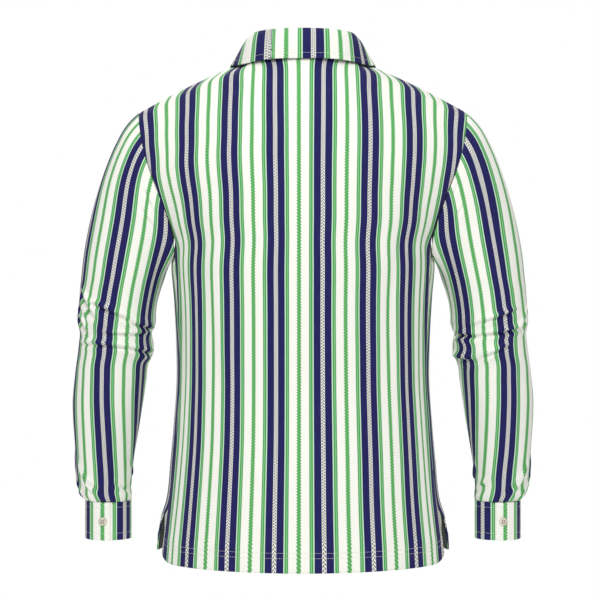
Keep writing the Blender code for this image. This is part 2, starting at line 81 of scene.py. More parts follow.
# ---------------------------------------------------------------- driving sizes, millimetres
CLOTH = 1.0                # wall of a single cloth layer
SEAM_TURN = 5.0            # how far sewn edges turn in
DROP_TAIL = 12.0           # how much lower the back hem is than its corners
HEM_DEPTH = 28.0           # turned-up layer behind the hem
HEM_LINES = (20.0, 27.0)   # stitch lines above the hem's edge
HEM_FOLD = 2.2             # from the hem's face to its turned-up layer
HEM_SWELL = 0.5            # how far the doubled hem stands out
HEM_CORNER = 0.80          # share of the half width from which the hem's corner is rounded
VENT_END = (60.0, 75.0)    # above the hem, where the free side edges become side seams
FREE_TURN = 1.8            # how far free edges turn in
FOLDS_FROM = (30.0, 90.0)  # above the hem, where the panels' folds set in
SEAM_SINK = 0.9            # how far the cloth sinks at its seams, and how wide
SEAM_WIDTH = 3.0
SHADE_TAPE_TOP = -602.0          # near-black strips inside the vents, painted shade of the vents' insides: top, width, and place from the front's edge and face
SHADE_TAPE_WIDTH = 26.0
SHADE_TAPE_RIM = 2.4
SHADE_TAPE_DEPTH = 3.5
SHADE_TAPE_WALL = 0.6
NECK_RX = 80.0             # neckline: half width, half depth and middle
NECK_RY = 71.0
NECK_Y = -11.0
NECK_TOP_Z = 20.0
NECK_DROP = 72.0
TIP = (234.0, 2.0, -58.0)  # shoulder tip
SHOULDER_GAP = 1.8
SHOULDER_BOW = 3.5
NECK_SHARE = 0.34          # share of a half panel's width that the neckline takes
ARM_RING_Z = -297.0        # where the sleeve cap ends and the level arm rings begin
SLEEVE_END_Z = -615.6
CUFF_END_ANGLE = 101.0     # degrees from +X round the wrist: free edge of the cuff
CUFF_OVERLAP = 36.0
CUFF_WALL = 1.6
CUFF_LINES = (7.4, 44.5)   # stitch lines below the cuff's top
GRID_STEP = 3.0            # spacing of the cloth's grid, and of the sleeves'
SLEEVE_STEP = 2.15

BACK_WRAP = 76.0           # degrees that each half of the back's sections turns through
FRONT_WRAP = 90.0          # and of the front's, with more for each millimetre of its edge's Y
SEAM_WRAP = 14.0 / 33.0
UPPER_WRAP = 60.0          # and of both at the shoulders, reached at this share of the armhole
UPPER_WRAP_BY = 0.35

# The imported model's size and place
back_low, back_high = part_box("back")
MM = (back_high[0] - back_low[0]) / (2 * TIP[0])

# Torso below the armholes, from the hem up: side seam, centre-back and centre-front depth
TORSO = (
    # z, x_seam, y_seam, y_back, y_front
    (-683, 199, 31, 142, -117), (-655, 195.5, 32, 141.5, -117), (-612, 189.6, 33, 140.5, -116),
    (-555, 183.3, 33, 138, -113), (-498, 178.5, 32.5, 134.5, -110), (-440, 175, 32, 133, -109),
    (-383, 175.7, 32.5, 135, -112), (-326, 178.4, 33, 137.5, -117), (-272, 181.6, 33.6, 139, -119),
)

# Free edges of the front panel beside the vents, which flare out below the side seams
FLAP = (
    # z, x, y
    (-683, 209, -4), (-655, 206, 6), (-635, 201, 18), (-612, 189.6, 33),
)

# Armhole from the top of the side seam to the shoulder tip, behind and in front
ARMHOLE_BACK = (
    # x, y, z
    (181.6, 33.6, -272), (180.5, 46, -243), (188.5, 57, -213), (199, 62, -184), (209, 61, -158),
    (220, 53, -130), (228.5, 38, -95), (232.6, 24, -72), (234, 12, -61), TIP,
)

ARMHOLE_FRONT = (
    # x, y, z
    (181.6, 33.6, -272), (187.2, 8, -270.5), (187.6, -20, -262.5), (186, -44, -242),
    (188.5, -58, -212), (197, -63, -172), (210, -55, -132), (222.5, -38.5, -95), (229.8, -23, -73),
    (233, -9, -61), TIP,
)

# Centre lines of the upper panels, from the top of the side seams to the neckline
CENTRE_BACK = (
    # share, y, z
    (0, 139, -272), (0.22, 137.5, -205), (0.44, 130.5, -142), (0.66, 115, -82), (0.84, 90, -28),
    (1, 60, 20),
)

CENTRE_FRONT = (
    # share, y, z
    (0, -119, -272), (0.30, -122, -203), (0.60, -115, -138), (0.80, -102, -95), (1, -82, -52),
)

# Left sleeve below its cap: inner and outer edge seen from behind, middle and half depth.
# The two swellings with a nip between them are the folds at the elbow.
ARM = (
    # z, x_in, x_out, y_mid, half_depth
    (-297, 198.8, 317.5, -4, 58.5), (-312, 204, 319, -4, 57), (-328, 208.5, 320, -4, 56),
    (-345, 210.8, 321.5, -4.5, 55.5), (-360, 211.5, 321.8, -5, 55.5), (-373, 217, 319.5, -6, 52.5),
    (-388, 214.5, 321, -7, 54), (-404, 216, 323, -8, 53.5), (-416, 221.5, 324.8, -9, 51.5),
    (-440, 225, 328, -11.5, 51), (-469, 229.5, 331, -15, 50), (-498, 234.5, 331, -19, 47.5),
    (-526, 239.5, 329.5, -23, 44), (-555, 244.7, 328, -27, 41), (-583, 248, 325.5, -31, 38),
    (-604, 250.3, 321.5, -34.5, 35), (SLEEVE_END_Z, 249, 316, -36, 33.7),
)

# How the sleeve leaves the armhole: direction by angle round the arm, from +X to the back
CAP = (
    # degrees, x, y, z
    (0, 0.82, 0, -0.57), (45, 0.65, 0.22, -0.72), (90, 0.42, 0.15, -0.90),
    (135, 0.35, 0.02, -0.94), (180, 0.55, 0, -0.84), (225, 0.46, -0.04, -0.89),
    (270, 0.42, -0.15, -0.90), (315, 0.65, -0.22, -0.72), (360, 0.82, 0, -0.57),
)

ARMHOLE_GAP = 0.95         # from the panels to the sleeve, and more on its outer side
ARMHOLE_MITRE = 0.6
CAP_PULL = 0.56
CAP_FAN = 1.4

# Collar stand by angle round the neck from centre back: inward lean and height of its fold
STAND = (
    # degrees, lean, height
    (0, -3, 34), (60, -4, 34), (90, -5, 33.5), (115, -5, 32), (140, -4, 30), (172, -1, 26),
)

# Lower edge of the collar leaf, from centre back to its point
LEAF_EDGE = (
    # degrees, x, y, z
    (0, 0, 70.4, 10.2), (25, 40.4, 65.8, 10.2), (40, 62, 54.6, 9.3), (56, 80.4, 36.4, 7.4),
    (72, 94.6, 15, 7.4), (90, 104.4, -11, 9.6), (108, 103, -43, -1.8), (124, 94.6, -68.2, -17.6),
    (140, 80.6, -90.5, -37.7), (155, 67, -106, -62), (172, 49, -114.5, -90),
)

CUFF_ROLL = 0.5            # rounding of the cuff's edges
LEAF_WALL = 1.6
LEAF_CLOTH = LEAF_WALL * 0.8
LEAF_BULGE = 4.8
SIDE_FLAT = 0.6            # share of the bulge lost over the shoulders
SIDE_FLAT_SOON = 1.7       # how soon it is lost down the leaf, and how far round
SIDE_FLAT_WIDTH = 35.0
LEAF_END = 172.0           # degrees round the neck at which the leaf's front edge starts
ROLL = 3.8                 # width of the collar's rolled fold, and its fall and rise inside
ROLL_DROP = 2.4
ROLL_RISE = 0.9
STAND_GAP = 0.8
STAND_END = 178.5
UNDER_SHOW = 0.1           # the near-black under collar, partly painted shadow, shows this far below the leaf
LEAF_LINE = 8.0            # stitch line above the leaf's edge
LEAF_START = 0.06          # share down the leaf at which it leaves its roll
LEAF_ROWS = (-1.0, -0.5, -0.2, 0.0, 0.08, 0.2, 0.35, 0.5, 0.65, 0.8, 0.9, 1.0)   # roll, then leaf
STAND_CLEAR = 1.8          # between the stand's top and the roll
UNDER_FROM = 0.4           # share of the rows above the under collar
UNDER_WALL = 0.5
COLLAR_STEP = 2.0

# Rows and columns of the panels' coarse grid
LOWER_ROWS = (-683.0, -655.0, -633.0, -612.0, -555.0, -498.0, -440.0, -383.0, -326.0, -272.0)
UPPER_STEPS = 9
TURN_FROM = 0.45
RELAX_PASSES = 10
NECK_DEGREES = (0.0, 11.0, 25.0, 40.0, 56.0, 72.0, 90.0)
SHOULDER_STEPS = 7
ARM_SIDES = 16
CAP_STEPS = 7
PLACKET_FOOT = 2 / 9       # share of the upper panel below the placket
PLACKET_HALF = 17.2        # half width, and how far its strips stand off the front
PLACKET_RISE = 1.5

# Stripes
REPEAT = 62.5              # width of the knit's repeat
BACK_REPEATS = 3.45        # repeats across half the back
BACK_CROWD = 0.085         # extra repeats that crowd in beside each side seam
CROWD_PLACE = 20.0         # their distance from the side edge, and their spread
CROWD_WIDTH = 11.0
WAIST_CROWD = (0.07, 32.0, 20.0, -330.0, 80.0)   # more on the left: amount, place, spread, height, spread
BACK_SHIFT = 0.415         # pattern place of centre back
SLEEVE_GRAIN = 78.0        # degrees from +X of the sleeve's grain line
CUFF_TURNS = 3             # repeats round the cuff, so that the pattern meets at the free edge
SPREAD_BLEND = 25.0        # half width of the change from the left's spread to the right's
OUTER_SPREAD = {1: 0.0, -1: 0.24}   # how much wider the stripes run on each sleeve's outer side
OUTER_FROM = 30.0          # from this far off the back's middle
INNER_SPREAD = (0.16, 14.0, -190.0, 36.0)   # and on the inner side: amount, from where, height, spread
CUFF_BRAIDS = {1: 30.0, -1: 27.5}   # inward length from each cuff's back to a braid
COLLAR_PLACES = (
    # length to the wearer's left of centre back, place in the repeat, in millimetres
    (-316, -261.8), (-116, -74.4), (-103.5, -65.2), (-96, -59.8), (-79.5, -50.6), (-72, -44.6),
    (-38, -17.9), (-29.8, -11.9), (-14.6, 0), (0.5, 11.9), (7.5, 17.9), (39.6, 44.6), (45.4, 50.4),
    # the photo's collar leaves out a navy band here, and a twill further on
    (45.5, 59.8), (56.5, 65.2), (72.1, 74.4), (81.5, 80.4), (103, 90.2), (103.1, 107.1),
    (112.5, 113.1), (130, 122.3), (136, 127.7), (349.4, 327.7),
)

# How far the back's stripes spread from centre back, by height, on the wearer's left and right
BACK_SPREAD = (
    # z, left, right
    (-700, 0.955, 0.990), (-612, 0.975, 1.010), (-526, 0.985, 1.035), (-440, 1.005, 1.040),
    (-326, 0.985, 1), (-269, 0.973, 0.990), (-212, 1.020, 1.055), (-170, 1.010, 1.040),
    (-126, 0.985, 1), (-97, 0.950, 0.975), (-60, 0.930, 0.950), (60, 0.930, 0.950),
)

FRONT_SPREAD = (
    # z, how close together the front's stripes run
    (-700, 0.91), (-610, 0.925), (-550, 0.96), (-480, 1), (-400, 1), (60, 1),
)

# How far the sleeves' stripes drift outwards from the grain line, in millimetres
LEFT_DRIFT = (
    # z, drift
    (-700, -11.5), (-612, -11.5), (-583, -14), (-526, -11.4), (-469, -7), (-440, -4), (-383, 0),
    (-326, -3), (-269, -3), (-212, 0), (-155, 8.5), (0, 8.5),
)
RIGHT_DRIFT = (
    # z, drift
    (-700, -7), (-612, -7), (-583, -8.5), (-526, -4), (-469, 0), (-440, 3), (-411, 6), (-326, 5.7),
    (-240, 7), (-183, 11.5), (-140, 14), (0, 14),
)

# Folds: across and height of both ends, half width, rise, sideways slide and bow. Across is the length
# round a panel from its middle, towards the wearer's left, or round a sleeve from its back's middle, outwards.
BACK_FOLDS = (
    (-150, -210, -120, -420, 22, 1.6, 0, 6), (150, -210, 125, -430, 24, 1.6, 0, -6),
)
FRONT_FOLDS = (
    (-170, -215, -100, -330, 18, 2, 0, 5), (170, -215, 100, -340, 18, 2, 0, -5),
)
LEFT_FOLDS = (
    (40, -331, -30, -359, 4.4, 5.2, 0.6, 2), (-28, -360, -80, -371, 5.4, 5, 3.6, 0),
    (12, -374, -44, -375, 3.8, 4.2, 0.4, 0), (50, -389, -44, -398, 4.4, 4.8, 0.5, 2),
    (-40, -398, -82, -405, 6, 4.4, 4, 0), (68, -312, 28, -354, 5.5, 4.4, -4.4, 0),
    (78, -338, 42, -374, 5, 3.8, -4, 0), (48, -560, 18, -602, 5, 2.8, 2.2, 0),
    (30, -580, 4, -600, 4, 1.8, -1.5, 0), (-5, -530, -7, -614, 3.2, 1.6, 0, 0),
    (-16, -586, -44, -603, 5, 2.4, 1.6, 0), (82, -540, 60, -604, 7, 2, -5, 0),
    (72, -584, 40, -607, 4, 2.4, 2, 0), (-48, -556, -70, -606, 5, 2, 2.5, 0),
    (-8, -172, -38, -204, 4.2, 2.2, 0, 0), (-10, -198, -42, -226, 4.2, 2, 0, 0),
)
RIGHT_FOLDS = (
    (-26, -361, 34, -343, 4.4, 5, 1, 0), (-24, -377, 50, -366, 4.4, 5.2, -1, 0),
    (-20, -408, 24, -391, 4.4, 4.2, 0.8, 0), (-24, -378, -80, -374, 5.4, 5.4, 3.6, 0),
    (-34, -412, -82, -410, 6, 4.8, -3.6, 0), (76, -336, 40, -374, 4.5, 2.4, -2, 0),
    (48, -560, 18, -602, 5, 2.6, 2, 0), (26, -582, 2, -602, 4, 1.6, -1.4, 0),
    (-18, -584, -46, -603, 5, 2.4, -1.6, 0), (84, -545, 64, -604, 7, 2.4, -5.5, 0),
    (66, -584, 34, -606, 4, 2.4, 2, 0), (-46, -560, -68, -606, 5, 2, -2.5, 0),
    (14, -535, 8, -612, 3.2, 1.4, 0, 0), (-10, -160, -30, -182, 4, 1.5, 0, 0),
    (-12, -192, -34, -214, 4, 1.7, 0, 0),
)
GATHER_WIDTH = 2.6         # for each radian of the gathers above the cuff, with their rise and reach
GATHER_RISE = 0.9
GATHER_REACH = 16.0
CUFF_SWELL = (1.5, 10.0, 7.0)   # of the sleeve above the cuff: rise, distance, spread
SLEEVE_TURN = 3.0          # how far the sleeve turns in at the cuff
BACK_ANGLE = 450.0         # the middle of the sleeve's back, from its underarm seam by way of its front
LAP_EASE = 60.0            # degrees over which the cuff rises onto its under end
STITCH_PITCH = 3.0         # from stitch to stitch, and each one's length, half width and height
STITCH_LENGTH = 2.4
STITCH_WIDTH = 0.23
STITCH_RISE = 0.22

# Buttons: radius and height of the turned profile, from the front's middle to the back's, as shares
BUTTON_PROFILE = (
    (0.0, 0.62), (0.3, 0.62), (0.56, 0.63), (0.66, 0.72), (0.74, 0.92), (0.82, 1.0), (0.9, 0.98),
    (0.97, 0.86), (1.0, 0.66), (0.98, 0.42), (0.88, 0.16), (0.72, 0.0), (0.4, 0.0), (0.0, 0.0),
)
BUTTON_SIDES = 48
HOLE_PLACE = 0.24          # of the radius, from the middle to a hole along each way
HOLE_SIZE = 0.135
KNOT_LEVELS = (0.05, 0.42)  # of the height, between which thread fills the holes

# Studio, metres
CAMERA_Y = 2.5             # behind the shirt
CAMERA_Z = -0.326
VIEW_WIDTH = 0.858         # across the view at the shirt's middle
LIGHT_AIM = (0.0, 0.0, -0.3)
LIGHTS = (
    # name, place, size, watts
    ("back_key", (0.35, 2.3, 1.55), 1.7, 43.0),
    ("back_fill", (-0.7, 2.8, -0.4), 1.3, 12.0),
    ("front_key", (0.9, -2.6, 0.9), 1.6, 40.0),
    ("front_fill", (-1.2, -2.4, 0.0), 1.6, 14.0),
    ("top", (0.0, 0.2, 2.2), 1.8, 10.0),
)
WORLD_LIGHT = 0.43         # share of the world's white that lights the shirt
FLOOR_RADIUS = 1.9
FLOOR_DROP = 0.35          # below the shirt


# ---------------------------------------------------------------- curves
def hermite(start, end, pull_start, pull_end, t):
    """Cubic from start to end with the given pulls at its ends."""
    return (start * (2 * t**3 - 3 * t**2 + 1) + end * (3 * t**2 - 2 * t**3)
            + pull_start * (t**3 - 2 * t**2 + t) + pull_end * (t**3 - t**2))


def spline(keys, values, at):
    """Smooth curve through table values: cubic pieces with the neighbours' mean slopes."""
    keys, values, at = (np.asarray(numbers, float) for numbers in (keys, values, at))
    slopes = np.gradient(values, keys, axis=0)
    span = np.clip(np.searchsorted(keys, at) - 1, 0, len(keys) - 2)
    width = keys[span + 1] - keys[span]
    t = (at - keys[span]) / width
    spread = t.shape + (1,) * (values.ndim - 1)
    t, width = t.reshape(spread), width.reshape(spread)
    return hermite(values[span], values[span + 1], slopes[span] * width, slopes[span + 1] * width, t)


def look_up(table, at):
    """Row of a table at a value of its first column, without that column."""
    rows = np.asarray(table, float)
    return spline(rows[:, 0], rows[:, 1:], at)


def lengths_along(points):
    """Length from the first point to each, or from the first row of points to each row."""
    steps = np.linalg.norm(np.diff(points, axis=0), axis=-1)
    return np.concatenate((0 * steps[:1], np.cumsum(steps, axis=0)))


def path_point(points, share):
    """Point at a share of the length of a smooth path through the points."""
    lengths = lengths_along(np.asarray(points, float))
    return spline(lengths / lengths[-1], points, share)


def unit(vectors):
    """The vectors at length 1."""
    vectors = np.asarray(vectors, float)
    return vectors / np.linalg.norm(vectors, axis=-1, keepdims=True)


def ease(value, start, end):
    """0 at start, 1 at end and smooth between."""
    t = np.clip((value - start) / (end - start), 0, 1)
    return t * t * (3 - 2 * t)


def bell(value, middle, width):
    """1 at the middle, fading smoothly on both sides."""
    return np.exp(-((value - middle) / width) ** 2)


# ---------------------------------------------------------------- coarse shapes, as in the CAD
def arc(share, edge, centre_y, wrap):
    """X and Y at a share of the way from the centre line to an edge, on an elliptical arc."""
    turn = share * wrap
    y = edge[1] + (centre_y - edge[1]) * (math.cos(turn) - math.cos(wrap)) / (1 - math.cos(wrap))
    return edge[0] * math.sin(turn) / math.sin(wrap), y


def neckline(degrees):
    """Point of the neckline, by angle round the neck from centre back to the wearer's left."""
    turn = math.radians(degrees)
    fall = ((1 - math.cos(turn)) / 2) ** 5
    x, y = NECK_RX * math.sin(turn), NECK_Y + NECK_RY * math.cos(turn)
    return np.array((x, y, NECK_TOP_Z - NECK_DROP * fall))


def top_edge(share, front):
    """Point and crossing direction at the neckline or the shoulder seam of a half panel."""
    side = -1.0 if front else 1.0
    if share <= NECK_SHARE:
        across = min(1.0, share / NECK_SHARE)
        degrees = math.degrees(math.asin(across))
        point = neckline(180.0 - degrees if front else degrees)
        point[1] += side * SHOULDER_GAP / 2 * across**12
        rising = np.array((0.0, -0.45 * side, 0.90)) * (1 - across)
        return point, unit(rising + np.array((0.0, -side, 0.12)) * across)
    along = (share - NECK_SHARE) / (1 - NECK_SHARE)
    point = neckline(90.0) * (1 - along) + np.array(TIP) * along
    point[2] += SHOULDER_BOW * math.sin(math.pi * along)
    point[1] += side * SHOULDER_GAP / 2
    return point, unit((0.0, -side, 0.12 * (1 - along)))


def lower_wrap(front, edge_y):
    """Angle that the section of a panel turns through from its centre to its edge."""
    return math.radians(FRONT_WRAP + edge_y * SEAM_WRAP if front else BACK_WRAP)


def lower_point(share, z, front):
    """Point of a half panel below the armholes."""
    x_seam, y_seam, y_back, y_front = look_up(TORSO, z)
    edge = look_up(FLAP, z) if front and z < FLAP[-1][0] else (x_seam, y_seam)
    x, y = arc(share, edge, y_front if front else y_back, lower_wrap(front, edge[1]))
    return np.array((x, y, z))


def hem_drop(share):
    """Full drop along the back hem, easing to none at its rounded corners."""
    rest = np.clip((share - HEM_CORNER) / (1 - HEM_CORNER), 0, 1)
    return np.sqrt(np.clip(np.cos(rest * math.pi / 2), 0, 1))


def upper_lines(t, front):
    """Point of the armhole, and y and z of the centre line, from the side seam's top (0) up (1)."""
    edge, centre = (ARMHOLE_FRONT, CENTRE_FRONT) if front else (ARMHOLE_BACK, CENTRE_BACK)
    return path_point(edge, t), look_up(centre, t)


def upper_section(share, t, front):
    """Plain section of an upper half panel."""
    edge, (centre_y, centre_z) = upper_lines(t, front)
    wrap = lower_wrap(front, TORSO[-1][2])
    wrap += (math.radians(UPPER_WRAP) - wrap) * min(1.0, t / UPPER_WRAP_BY)
    x, y = arc(share, edge, centre_y, wrap)
    blend = share * share
    return np.array((x, y, centre_z * (1 - blend) + edge[2] * blend))


def upper_point(share, t, front):
    """Point of an upper half panel, turned over the shoulder at its top."""
    if t <= TURN_FROM:
        return upper_section(share, t, front)

    def turned(at):
        start = upper_section(at, TURN_FROM, front)
        rise = (start - upper_section(at, TURN_FROM - 0.02, front)) / 0.02 * (1 - TURN_FROM)
        end, crossing = top_edge(at, front)
        pull = crossing * np.linalg.norm(end - start)
        return hermite(start, end, rise, pull, (t - TURN_FROM) / (1 - TURN_FROM))

    edge, centre = upper_lines(t, front)
    rest = 1.0 - max(0.0, (t - 0.9) / 0.1)
    return (turned(share) + (edge - turned(1.0)) * share**4 * rest
            + (np.array((0.0, *centre)) - turned(0.0)) * (1 - share) ** 3 * rest)


def panel_grid(front):
    """Rows of points from the hem to the top, from the wearer's left to the right, and their shares."""
    steps = np.arange(1, SHOULDER_STEPS + 1) / SHOULDER_STEPS
    neck = NECK_SHARE * np.sin(np.radians(NECK_DEGREES))
    half = np.concatenate((neck, NECK_SHARE + (1 - NECK_SHARE) * steps))
    shares = np.concatenate((half[::-1], -half[1:]))
    rows = [[lower_point(abs(s), z, front) for s in shares] for z in LOWER_ROWS]
    rows += [[upper_point(abs(s), k / UPPER_STEPS, front) for s in shares] for k in range(1, UPPER_STEPS + 1)]
    grid = np.array(rows)
    grid[:, shares < 0, 0] *= -1
    # even out the curvature across the rows that turn over the shoulder, edges kept
    left, here, right = shares[:-2], shares[1:-1], shares[2:]
    to_right = ((left - here) / (left - right))[None, :, None]
    rows = grid[len(LOWER_ROWS) + 2:-1]
    amount = np.linspace(0.15, 0.5, len(rows))[:, None, None]
    for _ in range(RELAX_PASSES):
        straight = rows[:, :-2] * (1 - to_right) + rows[:, 2:] * to_right
        rows[:, 1:-1] += (straight - rows[:, 1:-1]) * amount
    return grid, shares


def arm_ring(z):
    """Level ring of the left sleeve at a height."""
    x_in, x_out, y_mid, half_depth = look_up(ARM[::-1], z)
    turn = np.arange(ARM_SIDES) * 2 * math.pi / ARM_SIDES
    x = (x_in + x_out) / 2 + (x_out - x_in) / 2 * np.cos(turn)
    return np.stack((x, y_mid + half_depth * np.sin(turn), np.full(ARM_SIDES, z)), axis=1)


def armhole_point(degrees):
    """Point of the left armhole that the sleeve's grain line at this angle runs to."""
    behind = degrees <= 180.0
    share = 1.0 - ((degrees if behind else 360.0 - degrees) / 180.0) ** CAP_FAN
    return path_point((ARMHOLE_FRONT[1],) + ARMHOLE_BACK if behind else ARMHOLE_FRONT[1:], share)


def sleeve_grid():
    """Rings of the left sleeve from the armhole to the cuff."""
    first = arm_ring(ARM_RING_Z)
    starts, pulls, ends = [], [], []
    for k in range(ARM_SIDES):
        degrees = 360.0 * k / ARM_SIDES
        outer = math.cos(math.radians(degrees))
        leaving = unit(look_up(CAP, degrees))
        start = armhole_point(degrees) + leaving * (ARMHOLE_GAP + ARMHOLE_MITRE * max(0.0, outer) ** 2)
        reach = np.linalg.norm(first[k] - start)
        starts.append(start)
        pulls.append(leaving * reach * CAP_PULL)
        ends.append(unit((0.175 - 0.11 * outer, 0.0, -0.98)) * reach)
    starts, pulls, ends = np.array((starts, pulls, ends))
    rows = [hermite(starts, first, pulls, ends, k / CAP_STEPS) for k in range(CAP_STEPS)]
    return np.array(rows + [arm_ring(row[0]) for row in ARM])


def outwards(degrees):
    """Level direction away from the neck."""
    turn = math.radians(degrees)
    return unit((math.sin(turn) / NECK_RX, math.cos(turn) / NECK_RY, 0.0))


def fold_point(degrees):
    """Top of the collar stand, where the leaf folds over."""
    lean, height = look_up(STAND, min(degrees, LEAF_END))
    return neckline(degrees) + outwards(degrees) * lean + np.array((0.0, 0.0, height))


def leaf_point(degrees, down):
    """Outer surface of the leaf from its fold (0) to its edge (1)."""
    point = fold_point(degrees) * (1 - down) + look_up(LEAF_EDGE, degrees) * down
    flat = SIDE_FLAT * min(1.0, SIDE_FLAT_SOON * down) * bell(degrees, 90.0, SIDE_FLAT_WIDTH)
    return point + outwards(degrees) * LEAF_BULGE * (1 - flat) * math.sin(math.pi * down**0.7)


def stand_base(degrees):
    """Foot of the collar stand, square to the neckline and just clear of it."""
    along = unit(neckline(degrees + 0.5) - neckline(degrees - 0.5))
    rise = np.array((0.0, 0.0, 1.0)) - along * along[2]
    return neckline(degrees) + unit(rise) * STAND_GAP


# ---------------------------------------------------------------- fine grids
def densify(grid, step, margin=0):
    """More rows through the rows of a grid, and the length at which each lies.

    A margin is that many rows at each end which only steer the curve.
    """
    keys = lengths_along(grid[..., :3]).mean(axis=1)
    start, end = keys[margin], keys[len(keys) - 1 - margin]
    at = np.linspace(start, end, max(2, round((end - start) / step)) + 1)
    return spline(keys, grid, at), at - start


def refine(grid, row_step, column_step, margin=0):
    """Fine grid through the points of a coarse one, and the lengths along its rows' centre."""
    grid, down = densify(grid, row_step)
    return densify(grid.swapaxes(0, 1), column_step, margin)[0].swapaxes(0, 1), down


def normals(grid):
    """Unit normals of a grid, by its row and column directions."""
    return unit(np.cross(np.gradient(grid[..., :3], axis=1), np.gradient(grid[..., :3], axis=0)))


def arc_lengths(grid, origin):
    """Signed length along each row from its point at the origin column."""
    lengths = lengths_along(grid[..., :3].swapaxes(0, 1)).T
    return lengths - lengths[:, origin:origin + 1]


def fold_field(across, height, folds):
    """Lift and sideways slide of a surface where its folds run, in millimetres.

    Each fold is a crease along a line, under a round ridge and over a lower one.
    """
    lift, slide = np.zeros(across.shape), np.zeros(across.shape)
    for a0, z0, a1, z1, width, rise, shift, bow in folds:
        run, fall = a1 - a0, z1 - z0
        length = math.hypot(run, fall)
        t = ((across - a0) * run + (height - z0) * fall) / length**2
        off = ((height - z0) * run - (across - a0) * fall) / length * math.copysign(1.0, run)
        off = (off - bow * (1 - (2 * t - 1) ** 2)) / width
        taper = np.exp(-np.abs(2 * t - 1) ** 3)
        ridge, crease, under = bell(off, 0.95, 0.9), bell(off, 0.0, 0.45), bell(off, -1.1, 0.9)
        lift += rise * taper * (ridge - 0.95 * crease + 0.35 * under)
        slide += shift * taper * (ridge - under)
    return lift, slide


# ---------------------------------------------------------------- materials
def as_linear(*red_green_blue):
    """Linear colour from 8-bit sRGB numbers."""
    values = [c / 255 for c in red_green_blue]
    return tuple(v / 12.92 if v <= 0.04045 else ((v + 0.055) / 1.055) ** 2.4 for v in values) + (1.0,)


COLOURS = {name: as_linear(*numbers) for name, numbers in {
    "navy": (34, 32, 88), "navy_light": (44, 43, 104), "white": (251, 251, 243), "rib": (243, 243, 233),
    "mint": (206, 236, 206), "grass": (66, 152, 70), "leaf": (126, 200, 134), "green": (86, 158, 94),
    "twill_deep": (60, 148, 66), "twill_light": (120, 196, 124),
    # near-black pair: painted shade inside the vents, and the under collar's own blackish colour with painted
    # shadow beneath the leaf
    "braid": (240, 240, 234), "slit": (58, 56, 54), "dark": (17, 18, 16), "dark_rib": (32, 34, 28),
    # deep brown thread pair: button thread deepened as painted shade in the holes
    "thread": (238, 234, 220), "thread_deep": (206, 203, 192), "knot_painted_shade": (84, 76, 52), "knot_deep_painted_shade": (50, 44, 30),
    "button": (226, 219, 203), "button_deep": (196, 186, 166),
}.items()}
BRAID_END, NAVY_END, GREEN_END, WHITE_END = 2.65, 11.9, 17.9, 28.5   # bands, from the middle of the braid
GREENS = ((0.0, "mint"), (0.2, "mint"), (0.3, "grass"), (0.45, "grass"), (0.56, "leaf"), (0.7, "leaf"),
          (0.82, "green"), (1.0, "green"))   # shares of the green band
RIB_PITCH = 1.25
TWILL_PITCH, TWILL_LEAN, TWILL_TOOTH = 4.05, -1.2, 1.6
BRAID_PITCH, BRAID_LEAN = 4.0, 1.1
BAND_BLUR = 0.15           # half width of the change from one band to the next


def fill(node, values):
    """Link a node's sockets, or set them to plain values."""
    for key, value in values.items():
        if isinstance(value, bpy.types.NodeSocket):
            node.id_data.links.new(value, node.inputs[key])
        else:
            node.inputs[key].default_value = value


def add_node(tree, kind, output, values, **settings):
    """Output of a new node with these settings and inputs."""
    node = tree.nodes.new("ShaderNode" + kind)
    for setting, value in settings.items():
        setattr(node, setting, value)
    fill(node, values)
    return node.outputs[output]


class Shade:
    """A material and short ways to add nodes to it."""

    def __init__(self, name, roughness, sheen=0.0, specular=0.15):
        self.material = bpy.data.materials.new(name)
        self.material.use_nodes = True
        self.tree = self.material.node_tree
        self.shader = self.tree.nodes["Principled BSDF"]
        fill(self.shader, {"Roughness": roughness, "Sheen Weight": sheen, "Sheen Roughness": 0.45,
                           "Specular IOR Level": specular})

    def math(self, operation, *values):
        """Math node."""
        return add_node(self.tree, "Math", 0, dict(enumerate(values)), operation=operation)

    def rise(self, value, start, end):
        """Smooth step from 0 at start to 1 at end."""
        return add_node(self.tree, "MapRange", "Result", {"Value": value, "From Min": start, "From Max": end},
                        interpolation_type="SMOOTHSTEP")

    def mix(self, share, low, high):
        """Colour between two, each a socket or a name."""
        low, high = (COLOURS.get(colour, colour) for colour in (low, high))
        return add_node(self.tree, "Mix", "Result", {"Factor": share, "A": low, "B": high}, data_type="RGBA")

    def place(self):
        """Pattern place across and along, in repeats."""
        place = add_node(self.tree, "UVMap", "UV", {}, uv_map="cloth")
        split = self.tree.nodes.new("ShaderNodeSeparateXYZ")
        fill(split, {0: place})
        return split.outputs["X"], split.outputs["Y"]

    def noise(self, place=None, scale=1.0, detail=2.0):
        """Noise over a place, or over the object's own space."""
        if place is None:
            place = add_node(self.tree, "TexCoord", "Object", {})
        return add_node(self.tree, "TexNoise", "Fac", {"Vector": place, "Scale": scale, "Detail": detail})

    def wave(self, value, period):
        """Smooth wave between 0 and 1 along a length."""
        turned = self.math("SINE", self.math("MULTIPLY", value, 2 * math.pi / period))
        return self.math("MULTIPLY_ADD", turned, 0.5, 0.5)

    def finish(self, colour, height, depth, strength):
        """The material with its colour and a relief of this depth in millimetres."""
        relief = {"Strength": strength, "Distance": depth * MM, "Height": height}
        fill(self.shader, {"Base Color": colour, "Normal": add_node(self.tree, "Bump", "Normal", relief)})
        return self.material


